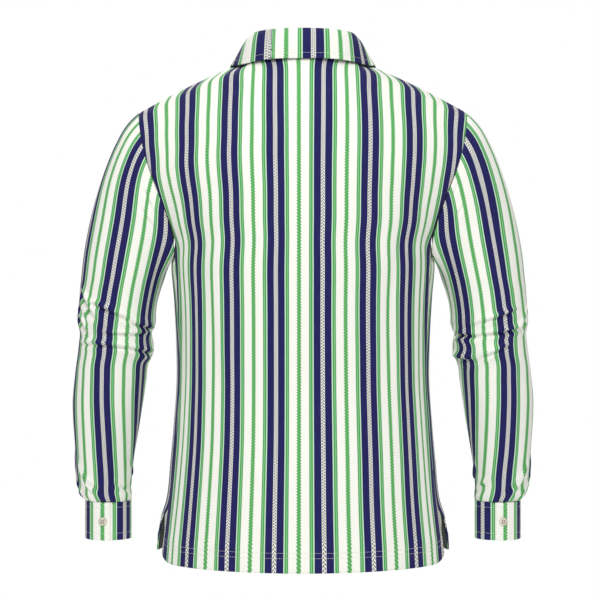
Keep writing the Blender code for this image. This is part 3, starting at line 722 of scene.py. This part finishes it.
def striped_knit():
    """Rib knit with its navy, white and green stripes, braids and twills."""
    shade = Shade("striped_knit", 0.85, sheen=0.06)
    calc, rise, mix = shade.math, shade.rise, shade.mix
    u, v = shade.place()
    off = calc("MULTIPLY", calc("SUBTRACT", calc("FRACT", calc("ADD", u, 0.5)), 0.5), REPEAT)
    q = calc("ABSOLUTE", off)
    along, across = calc("MULTIPLY", v, REPEAT), calc("MULTIPLY", u, REPEAT)
    fibre, mottle = (
        shade.noise(add_node(shade.tree, "CombineXYZ", 0, {"X": calc("MULTIPLY", across, x),
                                                           "Y": calc("MULTIPLY", along, y)}))
        for x, y in ((1.3, 0.06), (0.9, 0.9)))
    rib = shade.wave(across, RIB_PITCH)

    # twill: slanted ridges with toothed edges
    inside = calc("MULTIPLY_ADD", calc("FRACT", u), REPEAT, -REPEAT / 2)
    slant = calc("FRACT", calc("DIVIDE", calc("MULTIPLY_ADD", inside, TWILL_LEAN, along), TWILL_PITCH))
    tooth = calc("ABSOLUTE", calc("MULTIPLY_ADD", slant, 2.0, -1.0))
    twill = mix(rise(tooth, 0.3, 0.7), "twill_light", "twill_deep")
    twill_edge = calc("MULTIPLY_ADD", tooth, TWILL_TOOTH, WHITE_END - 0.7)

    # braid: two columns of slits that lean towards each other and take turns
    turn = calc("MULTIPLY", calc("GREATER_THAN", off, 0.0), BRAID_PITCH / 2)
    slope = calc("ADD", calc("MULTIPLY_ADD", q, BRAID_LEAN, along), turn)
    chain = calc("FRACT", calc("DIVIDE", slope, BRAID_PITCH))
    slit = calc("SUBTRACT", 1.0, rise(calc("ABSOLUTE", calc("SUBTRACT", chain, 0.5)), 0.16, 0.28))
    column = calc("MULTIPLY", rise(q, 0.1, 0.3), calc("SUBTRACT", 1.0, rise(q, 1.9, 2.3)))
    slit = calc("MULTIPLY", slit, column)

    band = {"Value": q, "From Min": NAVY_END, "From Max": GREEN_END}
    ramp_place = add_node(shade.tree, "MapRange", "Result", band)
    ramp = shade.tree.nodes.new("ShaderNodeValToRGB")
    for number, (place, colour) in enumerate(GREENS):
        stop = ramp.color_ramp.elements[number] if number < 2 else ramp.color_ramp.elements.new(place)
        stop.position, stop.color = place, COLOURS[colour]
    fill(ramp, {"Fac": ramp_place})

    colour = mix(slit, "braid", "slit")
    for edge, band in ((BRAID_END, mix(rise(fibre, 0.45, 0.75), "navy", "navy_light")),
                       (NAVY_END, ramp.outputs["Color"]),
                       (GREEN_END, mix(calc("MULTIPLY", rib, 0.6), "white", "rib"))):
        colour = mix(rise(q, edge - BAND_BLUR, edge + BAND_BLUR), colour, band)
    in_twill = rise(calc("SUBTRACT", q, twill_edge), -0.2, 0.2)
    relief = calc("SUBTRACT", calc("MULTIPLY_ADD", rib, 0.5, calc("MULTIPLY", mottle, 0.5)), slit)
    relief = calc("MULTIPLY_ADD", calc("MULTIPLY", tooth, in_twill), -0.7, relief)
    return shade.finish(mix(in_twill, colour, twill), relief, 0.25, 0.5)


def dark_knit():
    """Near-black rib knit: painted shade on the strips inside the vents, and on the under collar its own
    blackish colour together with painted shadow beneath the leaf.
    """
    shade = Shade("dark_knit", 0.85, sheen=0.2)
    rib, cross = (shade.wave(shade.math("MULTIPLY", place, REPEAT), pitch)
                  for place, pitch in zip(shade.place(), (1.6, 1.1)))
    colour = shade.mix(shade.math("MULTIPLY", rib, cross), "dark", "dark_rib")
    return shade.finish(colour, shade.math("ADD", rib, cross), 0.2, 0.5)


def button_resin():
    """Ivory resin with faint clouding."""
    shade = Shade("button_resin", 0.32, specular=0.5)
    cloud = shade.noise(scale=260.0, detail=4.0)
    return shade.finish(shade.mix(shade.rise(cloud, 0.3, 0.7), "button", "button_deep"), cloud, 0.1, 0.15)


def sewing_thread(name, light, deep):
    """Twisted thread."""
    shade = Shade(name, 0.6)
    twist = shade.noise(scale=1800.0)
    return shade.finish(shade.mix(twist, light, deep), twist, 0.1, 0.4)


# ---------------------------------------------------------------- meshes
def add_object(name, data):
    """New object in the scene."""
    thing = bpy.data.objects.new(name, data)
    bpy.context.collection.objects.link(thing)
    return thing


def add_mesh(name, points, faces, material, slot="striped_knit", node=None, uvs=None):
    """Smooth piece from millimetre points, riding on the shirt's one body, in the place of a CAD node."""
    mesh = bpy.data.meshes.new(name)
    mesh.from_pydata((np.asarray(points) * MM).tolist(), [], faces)
    if uvs is not None:
        layer = mesh.uv_layers.new(name="cloth")
        corner = np.empty(len(mesh.loops), dtype=np.int32)
        mesh.loops.foreach_get("vertex_index", corner)
        layer.data.foreach_set("uv", np.asarray(uvs, np.float32)[corner].ravel())
    mesh.update()
    mesh.shade_smooth()
    mesh.materials.append(material)
    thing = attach(add_object(name, mesh), "root")
    if node:
        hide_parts(node)
    return thing


def add_cloth(name, grid, material, out=1, wall=CLOTH, slot="striped_knit"):
    """Cloth piece from a grid of points with their pattern places; its wall goes inwards.

    The points run row by row. A piece named after a CAD node takes its place.
    """
    rows, columns = grid.shape[:2]
    corners = (np.arange(rows - 1)[:, None] * columns + np.arange(columns - 1)).reshape(-1, 1)
    faces = (corners + np.array((0, 1, columns + 1, columns))[::out]).tolist()
    node = name if name in frame["nodes"] else None
    flat = grid.reshape(-1, 5)
    thing = add_mesh(name + ("_cloth" if node else ""), flat[:, :3], faces, material, slot, node, flat[:, 3:])
    solid = thing.modifiers.new("wall", "SOLIDIFY")
    solid.thickness, solid.offset = wall * MM, -1.0
    return thing


def with_places(points, u, v):
    """A grid of points with their pattern places across and along, in repeats."""
    places = [np.broadcast_to(place, points.shape[:2])[..., None] for place in (u, v)]
    return np.concatenate((points, *places), axis=2)


def turn_edge(grid, out, depth, reach):
    """The grid with its last row rolled in by a depth, after reaching on a little."""
    step = grid[-1] - grid[-2]
    normal, onward = normals(grid)[-1] * out, unit(step[:, :3])
    depth, reach = (np.broadcast_to(size, len(step))[:, None] for size in (depth, reach))
    shallow = np.minimum(depth, 1.0)
    rows = [grid]
    for number, (go, sink) in enumerate(((0.7, shallow * 0.25), (1.0, shallow * 0.7), (1.0, depth)), 1):
        point = grid[-1, :, :3] + onward * reach * go - normal * sink
        rows.append(np.concatenate((point, grid[-1, :, 3:] + step[:, 3:] * 0.3 * number), axis=1)[None])
    return np.concatenate(rows)


def turn_sides(grid, out, depth, reach, *sides):
    """The grid with its edges turned in on some sides: its first or last row or column."""
    for side in sides:
        way = -1 if side.startswith("first") else 1
        if side.endswith("column"):
            turned = turn_edge(grid.swapaxes(0, 1)[::way], -out * way, depth, reach)
            grid = turned[::way].swapaxes(0, 1)
        else:
            grid = turn_edge(grid[::way], out * way, depth, reach)[::way]
    return grid


def sample(grid, row, column):
    """Points of a grid at fractional rows and columns."""
    row, column = np.broadcast_arrays(row, column)
    i, j = (np.clip(place.astype(int), 0, size - 2) for place, size in zip((row, column), grid.shape))
    a, b = (row - i)[..., None], (column - j)[..., None]
    return ((grid[i, j] * (1 - b) + grid[i, j + 1] * b) * (1 - a)
            + (grid[i + 1, j] * (1 - b) + grid[i + 1, j + 1] * b) * a)


def ring(centre, across, up, radius, sides):
    """Points round a centre, from across towards up."""
    turns = [2 * math.pi * k / sides for k in range(sides)]
    return [centre + (across * math.cos(turn) + up * math.sin(turn)) * radius for turn in turns]


class Stitches:
    """Stitches gathered from many seams into one mesh, each a six-sided bar with pointed ends."""

    def __init__(self):
        self.points, self.faces = [], []

    def run(self, line, facing):
        """A row of stitches along a line of points on a surface that faces that way."""
        keys = lengths_along(line)

        def at(length, values):
            return np.array([np.interp(length, keys, column) for column in values.T])

        for middle in np.arange(STITCH_PITCH / 2, keys[-1], STITCH_PITCH):
            start, end = at(middle - STITCH_LENGTH / 2, line), at(middle + STITCH_LENGTH / 2, line)
            up = unit(at(middle, facing))
            side = np.cross(unit(end - start), up)
            first = len(self.points)
            self.points.append(start - up * 0.1)
            for share in (0.22, 0.78):
                centre = start * (1 - share) + end * share + up * STITCH_RISE * 0.3
                self.points += ring(centre, side * STITCH_WIDTH, up * STITCH_RISE, 1.0, 6)
            self.points.append(end - up * 0.1)
            for k in range(6):
                a, b = first + 1 + k, first + 1 + (k + 1) % 6
                self.faces += [(first, b, a), (a, b, b + 6, a + 6), (a + 6, b + 6, first + 13)]

    def line(self, grid, out, length, ends=0):
        """A row of stitches at a length from a grid's first row, some columns short of its ends."""
        columns = np.arange(grid.shape[1])
        rows = [np.interp(length, column, np.arange(len(grid))) for column in lengths_along(grid[..., :3]).T]
        rows, columns = (values[ends:len(columns) - ends] for values in (np.array(rows), columns))
        self.run(sample(grid[..., :3], rows, columns), sample(normals(grid) * out, rows, columns))


# ---------------------------------------------------------------- panels
def panel(front):
    """Fine grid of a panel with its pattern places, before its edges are turned."""
    coarse, shares = panel_grid(front)
    shares = np.broadcast_to(shares[None, :, None], coarse.shape[:2] + (1,))
    grid, down = refine(np.concatenate((coarse, shares), axis=2), GRID_STEP, GRID_STEP)
    out = -1 if front else 1
    points, share = grid[..., :3].copy(), grid[..., 3]
    middle = int(np.argmin(np.abs(share[0])))
    across = -arc_lengths(grid, middle)
    half = (across[:, :1] - across[:, -1:]) / 2
    edge = half - np.abs(across)
    height = np.broadcast_to(points[:, middle:middle + 1, 2], across.shape).copy()
    if not front:
        low = np.clip((LOWER_ROWS[1] - points[..., 2]) / (LOWER_ROWS[1] - LOWER_ROWS[0]), 0, 1)
        points[..., 2] -= DROP_TAIL * hem_drop(np.abs(share)) * low
    lift, slide = fold_field(across, height, FRONT_FOLDS if front else BACK_FOLDS)
    hem = down[:, None]
    lift = lift * ease(hem, *FOLDS_FROM) + HEM_SWELL * (1 - ease(hem, HEM_DEPTH - 3, HEM_DEPTH + 1))
    lift -= SEAM_SINK * (ease(hem, *VENT_END) * bell(edge, 0, SEAM_WIDTH) + bell(down[-1] - hem, 0, SEAM_WIDTH))
    points += normals(points) * out * lift[..., None]
    points[..., 0] += slide
    if front:
        u = across / REPEAT * look_up(FRONT_SPREAD, height)[..., 0]
        return with_places(points, u, hem / REPEAT), out, across, down
    left, right = np.moveaxis(look_up(BACK_SPREAD, height), -1, 0)
    spread = left + (right - left) * ease(-across, -SPREAD_BLEND, SPREAD_BLEND)
    crowd = bell(edge, CROWD_PLACE, CROWD_WIDTH) * (1 - ease(height, ARM_RING_Z, TIP[2]))
    amount, place, width, level, tall = WAIST_CROWD
    waist = amount * (across > 0) * bell(edge, place, width) * bell(height, level, tall)
    u = across / half * BACK_REPEATS / spread + BACK_SHIFT + np.sign(across) * BACK_CROWD * crowd + waist
    return with_places(points, u, hem / REPEAT), out, across, down


def finish_panel(name, grid, out, down, knit):
    """Turn the panel's edges in and add it."""
    sewn = ease(down, *VENT_END)
    depth, reach = FREE_TURN + (SEAM_TURN - FREE_TURN) * sewn, 0.1 + 0.4 * sewn
    grid = turn_sides(grid, out, depth, reach, "first_column", "last_column")
    grid = turn_sides(grid, out, SEAM_TURN, SHOULDER_GAP / 2, "last_row")
    grid = turn_sides(grid, out, HEM_FOLD, 0.3, "first_row")
    hem = slice(4, 4 + round(HEM_DEPTH / GRID_STEP))
    inner = grid[hem].copy()
    inner[..., :3] -= normals(grid)[hem] * out * HEM_FOLD
    return add_cloth(name, np.concatenate((inner[::-1], grid)), knit, out)


def vent_shade_tapes(grid, out, across, dark):
    """Near-black strips inside the front's free edges beside the vents, painted shade of the vents' insides."""
    rows = np.flatnonzero(grid[..., 2].max(axis=1) < SHADE_TAPE_TOP)[::-1]
    low = across[rows[-1]]
    inside = grid.copy()
    inside[..., :3] -= normals(grid) * out * SHADE_TAPE_DEPTH
    pieces = []
    for name, edge in (("vent_shade_tape_left", low[0] - low), ("vent_shade_tape_right", low - low[-1])):
        keep = np.flatnonzero((edge > SHADE_TAPE_RIM) & (edge < SHADE_TAPE_RIM + SHADE_TAPE_WIDTH))
        pieces.append(add_cloth(name, inside[rows][:, keep], dark, out, SHADE_TAPE_WALL, "dark_knit"))
    return pieces


# ---------------------------------------------------------------- sleeves
def sleeve(side, folds, drift):
    """Fine grid of the left sleeve, or of its mirror image, with pattern places."""
    coarse = sleeve_grid()
    extra = 3   # columns past the seam, which only steer the curve
    turns = np.arange(ARM_SIDES // 2 - extra, ARM_SIDES * 3 // 2 + extra + 1)
    angles = np.broadcast_to(turns[None, :, None] * 360.0 / ARM_SIDES, (len(coarse), len(turns), 1))
    coarse = np.concatenate((coarse[:, turns % ARM_SIDES], angles), axis=2)
    grid, down = refine(coarse, SLEEVE_STEP, SLEEVE_STEP, extra)
    points, angle = grid[..., :3].copy(), grid[..., 3]
    height = points[..., 2].copy()
    v = lengths_along(points[::-1])[::-1] / REPEAT
    lengths = arc_lengths(points, 0)
    grain, back = (np.array([[np.interp(place, a, s)] for a, s in zip(angle, lengths)])
                   for place in (360.0 + SLEEVE_GRAIN, BACK_ANGLE))
    across = back - lengths
    u = lengths - grain
    first = int(np.argmin(np.abs(height[:, len(angle[0]) // 2] - ARM_RING_Z)))
    u[:first] = u[first]
    u += look_up(drift, height)[..., 0]
    u += OUTER_SPREAD[side] * np.maximum(across - OUTER_FROM, 0.0)
    amount, start, level, tall = INNER_SPREAD
    u += amount * np.maximum(-across - start, 0.0) * bell(height, level, tall)
    lift, slide = fold_field(across, height, folds)
    to_cuff = (down[-1] - down)[:, None]
    lift -= 0.8 * bell(down[:, None], 0, SEAM_WIDTH) + bell(to_cuff, 0, SEAM_WIDTH)
    gathers = np.sin(across / GATHER_WIDTH + 1.5 * np.sin(across * 0.11 + side))
    lift += GATHER_RISE * gathers * bell(to_cuff, 0, GATHER_REACH)
    rise, place, width = CUFF_SWELL
    lift += rise * bell(to_cuff, place, width)
    tangent = unit(np.gradient(points, axis=1))
    points += normals(points) * -lift[..., None] - tangent * slide[..., None]
    points[..., 0] *= side
    return with_places(points, u / REPEAT, v), -side


def make_sleeve(name, side, folds, drift, knit):
    """Sleeve with its ends turned in."""
    grid, out = sleeve(side, folds, drift)
    grid = turn_sides(grid, out, SEAM_TURN, ARMHOLE_GAP / 2, "first_row")
    return add_cloth(name, turn_sides(grid, out, SLEEVE_TURN, 0.1, "last_row"), knit, out)


# ---------------------------------------------------------------- cuffs
cuff_low, cuff_high = (np.array(corner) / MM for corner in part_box("cuff_left"))
CUFF_LAP = CUFF_WALL + 0.3
CUFF_RADIUS = (cuff_high[1] - cuff_low[1] + CUFF_LAP * 0.35) / 2
CUFF_HEIGHT = cuff_high[2] - cuff_low[2]
CUFF_MIDDLE = (cuff_high[0] - CUFF_RADIUS, (cuff_low[1] + cuff_high[1]) / 2, cuff_high[2])


def cuff_surface(turned, height, depth):
    """Points of the left cuff by degrees from its under end, length down and depth, and their facing."""
    turned, height, depth = np.broadcast_arrays(turned, height, depth)
    turn = np.radians(CUFF_END_ANGLE - CUFF_OVERLAP + turned)
    facing = np.stack((np.cos(turn), np.sin(turn), 0 * turn), axis=-1)
    radius = CUFF_RADIUS - CUFF_LAP * (1.0 - ease(turned, CUFF_OVERLAP, CUFF_OVERLAP + LAP_EASE)) - depth
    points = facing * radius[..., None] + CUFF_MIDDLE
    points[..., 2] -= height
    return points, facing


def make_cuff(name, side, knit, stitches):
    """Cuff strip wound round the wrist, with rounded edges, closed ends and its stitch lines."""
    roll, wall, tall = CUFF_ROLL, CUFF_WALL, CUFF_HEIGHT
    heights = np.linspace(roll * 1.5, tall - roll * 1.5, 28)
    rounds = [(roll * 0.3, tall - roll * 0.3), (wall / 2, tall), (wall - roll * 0.3, tall - roll * 0.3)]
    profile = [(0.35 * sum(bell(h, line, 0.9) for line in CUFF_LINES), h) for h in heights]
    profile += rounds + [(wall, h) for h in heights[::-4]] + [(d, tall - h) for d, h in rounds[::-1]]
    depth, height = np.transpose(profile)
    turned = np.linspace(0.0, 360.0 + CUFF_OVERLAP, 133)[:, None]
    mirror = np.array((side, 1.0, 1.0))
    points = cuff_surface(turned, height, depth)[0] * mirror
    outward = np.radians(90.0 - (CUFF_END_ANGLE - CUFF_OVERLAP + turned)) * CUFF_RADIUS
    u = (outward + CUFF_BRAIDS[side]) * CUFF_TURNS / (2 * math.pi * CUFF_RADIUS)
    grid = with_places(points, u, -height[None] / REPEAT)
    rows, columns = points.shape[:2]
    here = np.arange(columns)
    onward = np.roll(here, -1)
    quads = np.stack((here, onward, onward + columns, here + columns), axis=1)
    faces = (quads + np.arange(rows - 1)[:, None, None] * columns).reshape(-1, 4).tolist()
    faces = [face[::-side] for face in faces + [here[::-1].tolist(), (here + (rows - 1) * columns).tolist()]]
    flat = grid.reshape(-1, 5)
    piece = add_mesh(name + "_cloth", flat[:, :3], faces, knit, node=name, uvs=flat[:, 3:])
    shown = np.linspace(CUFF_OVERLAP + 1.5, 360.0 + CUFF_OVERLAP - 2.5, 120)
    for line in CUFF_LINES:
        spot, facing = cuff_surface(shown, line, 0.2)
        stitches.run(spot * mirror, facing * mirror)
    return piece


# ---------------------------------------------------------------- collar
def collar_surface(place, last, downs):
    """Fine grid of a collar layer with its pattern places; place gives a point by degrees and share down."""
    degrees = np.concatenate((np.linspace(-last, -90, 22), np.linspace(-86, 86, 43), np.linspace(90, last, 22)))
    coarse = np.array([[place(abs(d), s) * (-1 if d < 0 else 1, 1, 1) for d in degrees] for s in downs])
    grid = refine(coarse, COLLAR_STEP, COLLAR_STEP / 2)[0]
    middle = grid.shape[1] // 2
    u = np.interp(arc_lengths(grid, middle), *np.transpose(COLLAR_PLACES)) / REPEAT
    return with_places(grid, u, -lengths_along(grid[:, middle])[:, None] / REPEAT)


def rolled_leaf_point(degrees, down):
    """Leaf surface, with its roll over the stand at shares below 0."""
    if down >= 0:
        return leaf_point(degrees, LEAF_START + (1 - LEAF_START) * down)
    rise = ROLL_RISE - (ROLL_DROP + ROLL_RISE) * (-down) ** 1.5
    return fold_point(degrees) - outwards(degrees) * ROLL * (0.4 - 0.6 * down) + (0.0, 0.0, rise)


def make_collar(knit, dark, stitches):
    """Stand, leaf and under collar."""
    def stand_point(degrees, level):
        top = fold_point(degrees) - outwards(degrees) * (ROLL - LEAF_WALL)
        top[2] -= ROLL_DROP + STAND_CLEAR
        return stand_base(degrees) * (1 - level) + top * level

    grid = collar_surface(stand_point, STAND_END, np.linspace(0, 1, 5))
    stand = add_cloth("collar_stand", grid, knit, -1, LEAF_WALL)
    grid = collar_surface(rolled_leaf_point, LEAF_END, LEAF_ROWS)
    stitches.line(grid[::-1], -1, LEAF_LINE, 4)
    turned = turn_sides(grid, 1, 0.8, 0.05, "first_column", "last_column", "last_row")
    leaf = add_cloth("collar_leaf", turned, knit, 1, LEAF_CLOTH)
    # near-black under collar: its own blackish colour, and painted shadow beneath the leaf's edge
    start = int(len(grid) * UNDER_FROM)
    under = grid[start:].copy()
    under[..., :3] -= normals(grid)[start:] * (LEAF_CLOTH + 0.05)
    under[-1, :, :3] += unit(grid[-1, :, :3] - grid[-2, :, :3]) * UNDER_SHOW
    return [stand, leaf, add_cloth("under_collar", under, dark, 1, UNDER_WALL, "dark_knit")]


# ---------------------------------------------------------------- placket
def make_placket(front, knit, stitches):
    """Strip over the front's slit with its stitched edges, and the strip behind it."""
    grid, out, across, _ = front
    middle = grid[:, grid.shape[1] // 2, 2]
    foot = np.interp(look_up(CENTRE_FRONT, PLACKET_FOOT)[1], middle, np.arange(len(middle)))
    rows = np.linspace(foot, len(grid) - 2.0, 76)
    places = np.linspace(-PLACKET_HALF, PLACKET_HALF, 19)
    columns = np.array([np.interp(places, -across[int(row)], np.arange(grid.shape[1])) for row in rows])
    base, facing = (sample(values, rows[:, None], columns) for values in (grid, normals(grid) * out))
    under, over = base.copy(), base
    under[..., :3] -= facing * PLACKET_RISE
    over[..., :3] += facing * PLACKET_RISE
    for column in (2, -3):
        stitches.run(over[:, column, :3], facing[:, column])
    for row in (2, 10):
        stitches.run(over[row, 3:-3, :3], facing[row, 3:-3])
    over = turn_sides(over, out, 1.0, 0.1, "first_column", "last_column", "first_row")
    return [add_cloth("placket_over", over, knit, out), add_cloth("placket_under", under, knit, out)]


# ---------------------------------------------------------------- buttons
def button_frame(node):
    """Middle of a button's back, its facing, its radius and its height, from its CAD node."""
    vertices = frame["nodes"][node].data.vertices
    points = np.empty(len(vertices) * 3)
    vertices.foreach_get("co", points)
    points = points.reshape(-1, 3) / MM
    middle = (points.min(axis=0) + points.max(axis=0)) / 2
    facing = np.linalg.svd(points - points.mean(axis=0))[2][2]
    facing = facing * math.copysign(1.0, facing[1] * middle[1])
    heights = (points - middle) @ facing
    radius = np.linalg.norm(points - middle - np.outer(heights, facing), axis=1).max()
    return middle + facing * heights.min(), facing, radius, np.ptp(heights)


def cylinder(points, faces, centre, across, up, facing, radius, levels, sides=16):
    """Add a closed cylinder between two levels along its facing."""
    low = list(range(len(points), len(points) + sides))
    for level in levels:
        points += ring(centre + facing * level, across, up, radius, sides)
    faces += [tuple(low[::-1]), tuple(k + sides for k in low)]
    faces += [(a, b, b + sides, a + sides) for a, b in zip(low, low[1:] + low[:1])]


def make_button(node, resin, knots):
    """Turned four-hole button; the thread in its holes is added to the knots' points and faces."""
    seat, facing, radius, height = button_frame(node)
    across = unit(np.cross(facing, (0.0, 0.0, 1.0)))
    up = np.cross(across, facing)
    points, faces = [seat + facing * height * BUTTON_PROFILE[0][1]], []
    for r, h in BUTTON_PROFILE[1:-1]:
        points += ring(seat + facing * height * h, across, up, radius * r, BUTTON_SIDES)
    points.append(seat)
    last = len(points) - 1 - BUTTON_SIDES
    for k in range(BUTTON_SIDES):
        n = (k + 1) % BUTTON_SIDES
        faces.append((0, 1 + n, 1 + k))
        for a in range(1, last, BUTTON_SIDES):
            faces.append((a + k, a + n, a + n + BUTTON_SIDES, a + k + BUTTON_SIDES))
        faces.append((last + k, last + n, len(points) - 1))
    piece = add_mesh(node + "_resin", points, faces, resin, "button", node)
    holes = ([], [])
    size = radius * HOLE_SIZE
    for x, y in ((1, 1), (-1, 1), (-1, -1), (1, -1)):
        centre = seat + (across * x + up * y) * radius * HOLE_PLACE
        cylinder(*holes, centre, across, -up, facing, size, (-0.3 * height, 1.3 * height))
        # thread in the hole, deep brown as painted shade of the hole
        cylinder(*knots, centre, across, -up, facing, size * 1.05, [height * level for level in KNOT_LEVELS])
    cutter = add_mesh(node + "_holes", *holes, resin)
    cut = piece.modifiers.new("holes", "BOOLEAN")
    cut.operation, cut.solver, cut.object = "DIFFERENCE", "EXACT", cutter
    bpy.context.view_layer.update()
    solid = bpy.data.meshes.new_from_object(piece.evaluated_get(bpy.context.evaluated_depsgraph_get()))
    piece.modifiers.remove(cut)
    piece.data = solid
    solid.set_sharp_from_angle(angle=math.radians(35.0))
    bpy.data.objects.remove(cutter, do_unlink=True)


# ---------------------------------------------------------------- studio
def make_camera():
    """Level camera behind the shirt."""
    camera = bpy.data.cameras.new("camera")
    camera.sensor_width = 36.0
    camera.lens = camera.sensor_width * CAMERA_Y / VIEW_WIDTH
    camera.shift_x = -0.005
    thing = add_object("camera", camera)
    thing.location = (0.0, CAMERA_Y, CAMERA_Z)
    thing.rotation_euler = (math.pi / 2, 0.0, math.pi)
    bpy.context.scene.camera = thing


def make_lights():
    """Soft lamps all round, aimed at the shirt."""
    for name, place, size, watts in LIGHTS:
        light = bpy.data.lights.new(name, "AREA")
        light.shape, light.size, light.energy = "DISK", size, watts
        thing = add_object(name, light)
        thing.location = place
        away = unit(np.subtract(place, LIGHT_AIM))
        thing.rotation_euler = (math.acos(away[2]), 0.0, math.atan2(away[1], away[0]) + math.pi / 2)


def make_world():
    """White surroundings, which light the shirt less than they show."""
    world = bpy.data.worlds.new("studio")
    world.use_nodes = True
    tree = world.node_tree
    shown = add_node(tree, "LightPath", "Is Camera Ray", {})
    strength = add_node(tree, "MapRange", "Result", {"Value": shown, "To Min": WORLD_LIGHT, "To Max": 1.0})
    fill(tree.nodes["Background"], {"Color": (1.0, 1.0, 1.0, 1.0), "Strength": strength})
    bpy.context.scene.world = world


def make_floor():
    """Pale round floor, well below the hanging shirt, that fades out at its rim."""
    centre = np.array((0.0, 0.0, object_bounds()[0][2] - FLOOR_DROP))
    rim = ring(centre, np.array((1.0, 0.0, 0.0)), np.array((0.0, 1.0, 0.0)), FLOOR_RADIUS, 96)
    mesh = bpy.data.meshes.new("floor")
    mesh.from_pydata(np.array(rim).tolist(), [], [tuple(range(len(rim)))])
    shade = Shade("pale_floor", 0.9)
    place = add_node(shade.tree, "TexCoord", "Object", {})
    length = add_node(shade.tree, "VectorMath", "Value", {0: place}, operation="LENGTH")
    fade = shade.rise(length, FLOOR_RADIUS, FLOOR_RADIUS * 0.75)
    fill(shade.shader, {"Base Color": (0.92, 0.92, 0.92, 1.0), "Alpha": fade})
    mesh.materials.append(shade.material)
    add_object("floor", mesh)


# ---------------------------------------------------------------- the shirt
def main():
    """Build every piece."""
    bpy.context.scene.view_settings.view_transform = "Standard"
    knit, dark, resin = striped_knit(), dark_knit(), button_resin()
    knots, stitches = ([], []), Stitches()
    for name in ("back", "front"):
        facts = panel(name == "front")
        grid, out, across, down = facts
        for line in HEM_LINES:
            stitches.line(grid, out, line)
        finish_panel(name, grid, out, down, knit)
    # near-black strips inside the vents, painted shade
    shade_tapes = vent_shade_tapes(grid, out, across, dark)
    left = make_sleeve("sleeve_left", 1, LEFT_FOLDS, LEFT_DRIFT, knit)
    right = make_sleeve("sleeve_right", -1, RIGHT_FOLDS, RIGHT_DRIFT, knit)
    cuffs = [make_cuff("cuff_left", 1, knit, stitches), make_cuff("cuff_right", -1, knit, stitches)]
    collar = make_collar(knit, dark, stitches)
    placket = make_placket(facts, knit, stitches)
    for node in sorted(name for name in frame["nodes"] if name.startswith("button")):
        make_button(node, resin, knots)
    thread = sewing_thread("sewing_thread", "thread", "thread_deep")
    add_mesh("stitches", stitches.points, stitches.faces, thread)
    # button thread, deep brown as painted shade of the holes
    add_mesh("button_knots", *knots, sewing_thread("button_thread_painted_shade", "knot_painted_shade", "knot_deep_painted_shade"), "button")

    make_camera()
    make_lights()
    make_world()
    make_floor()


main()
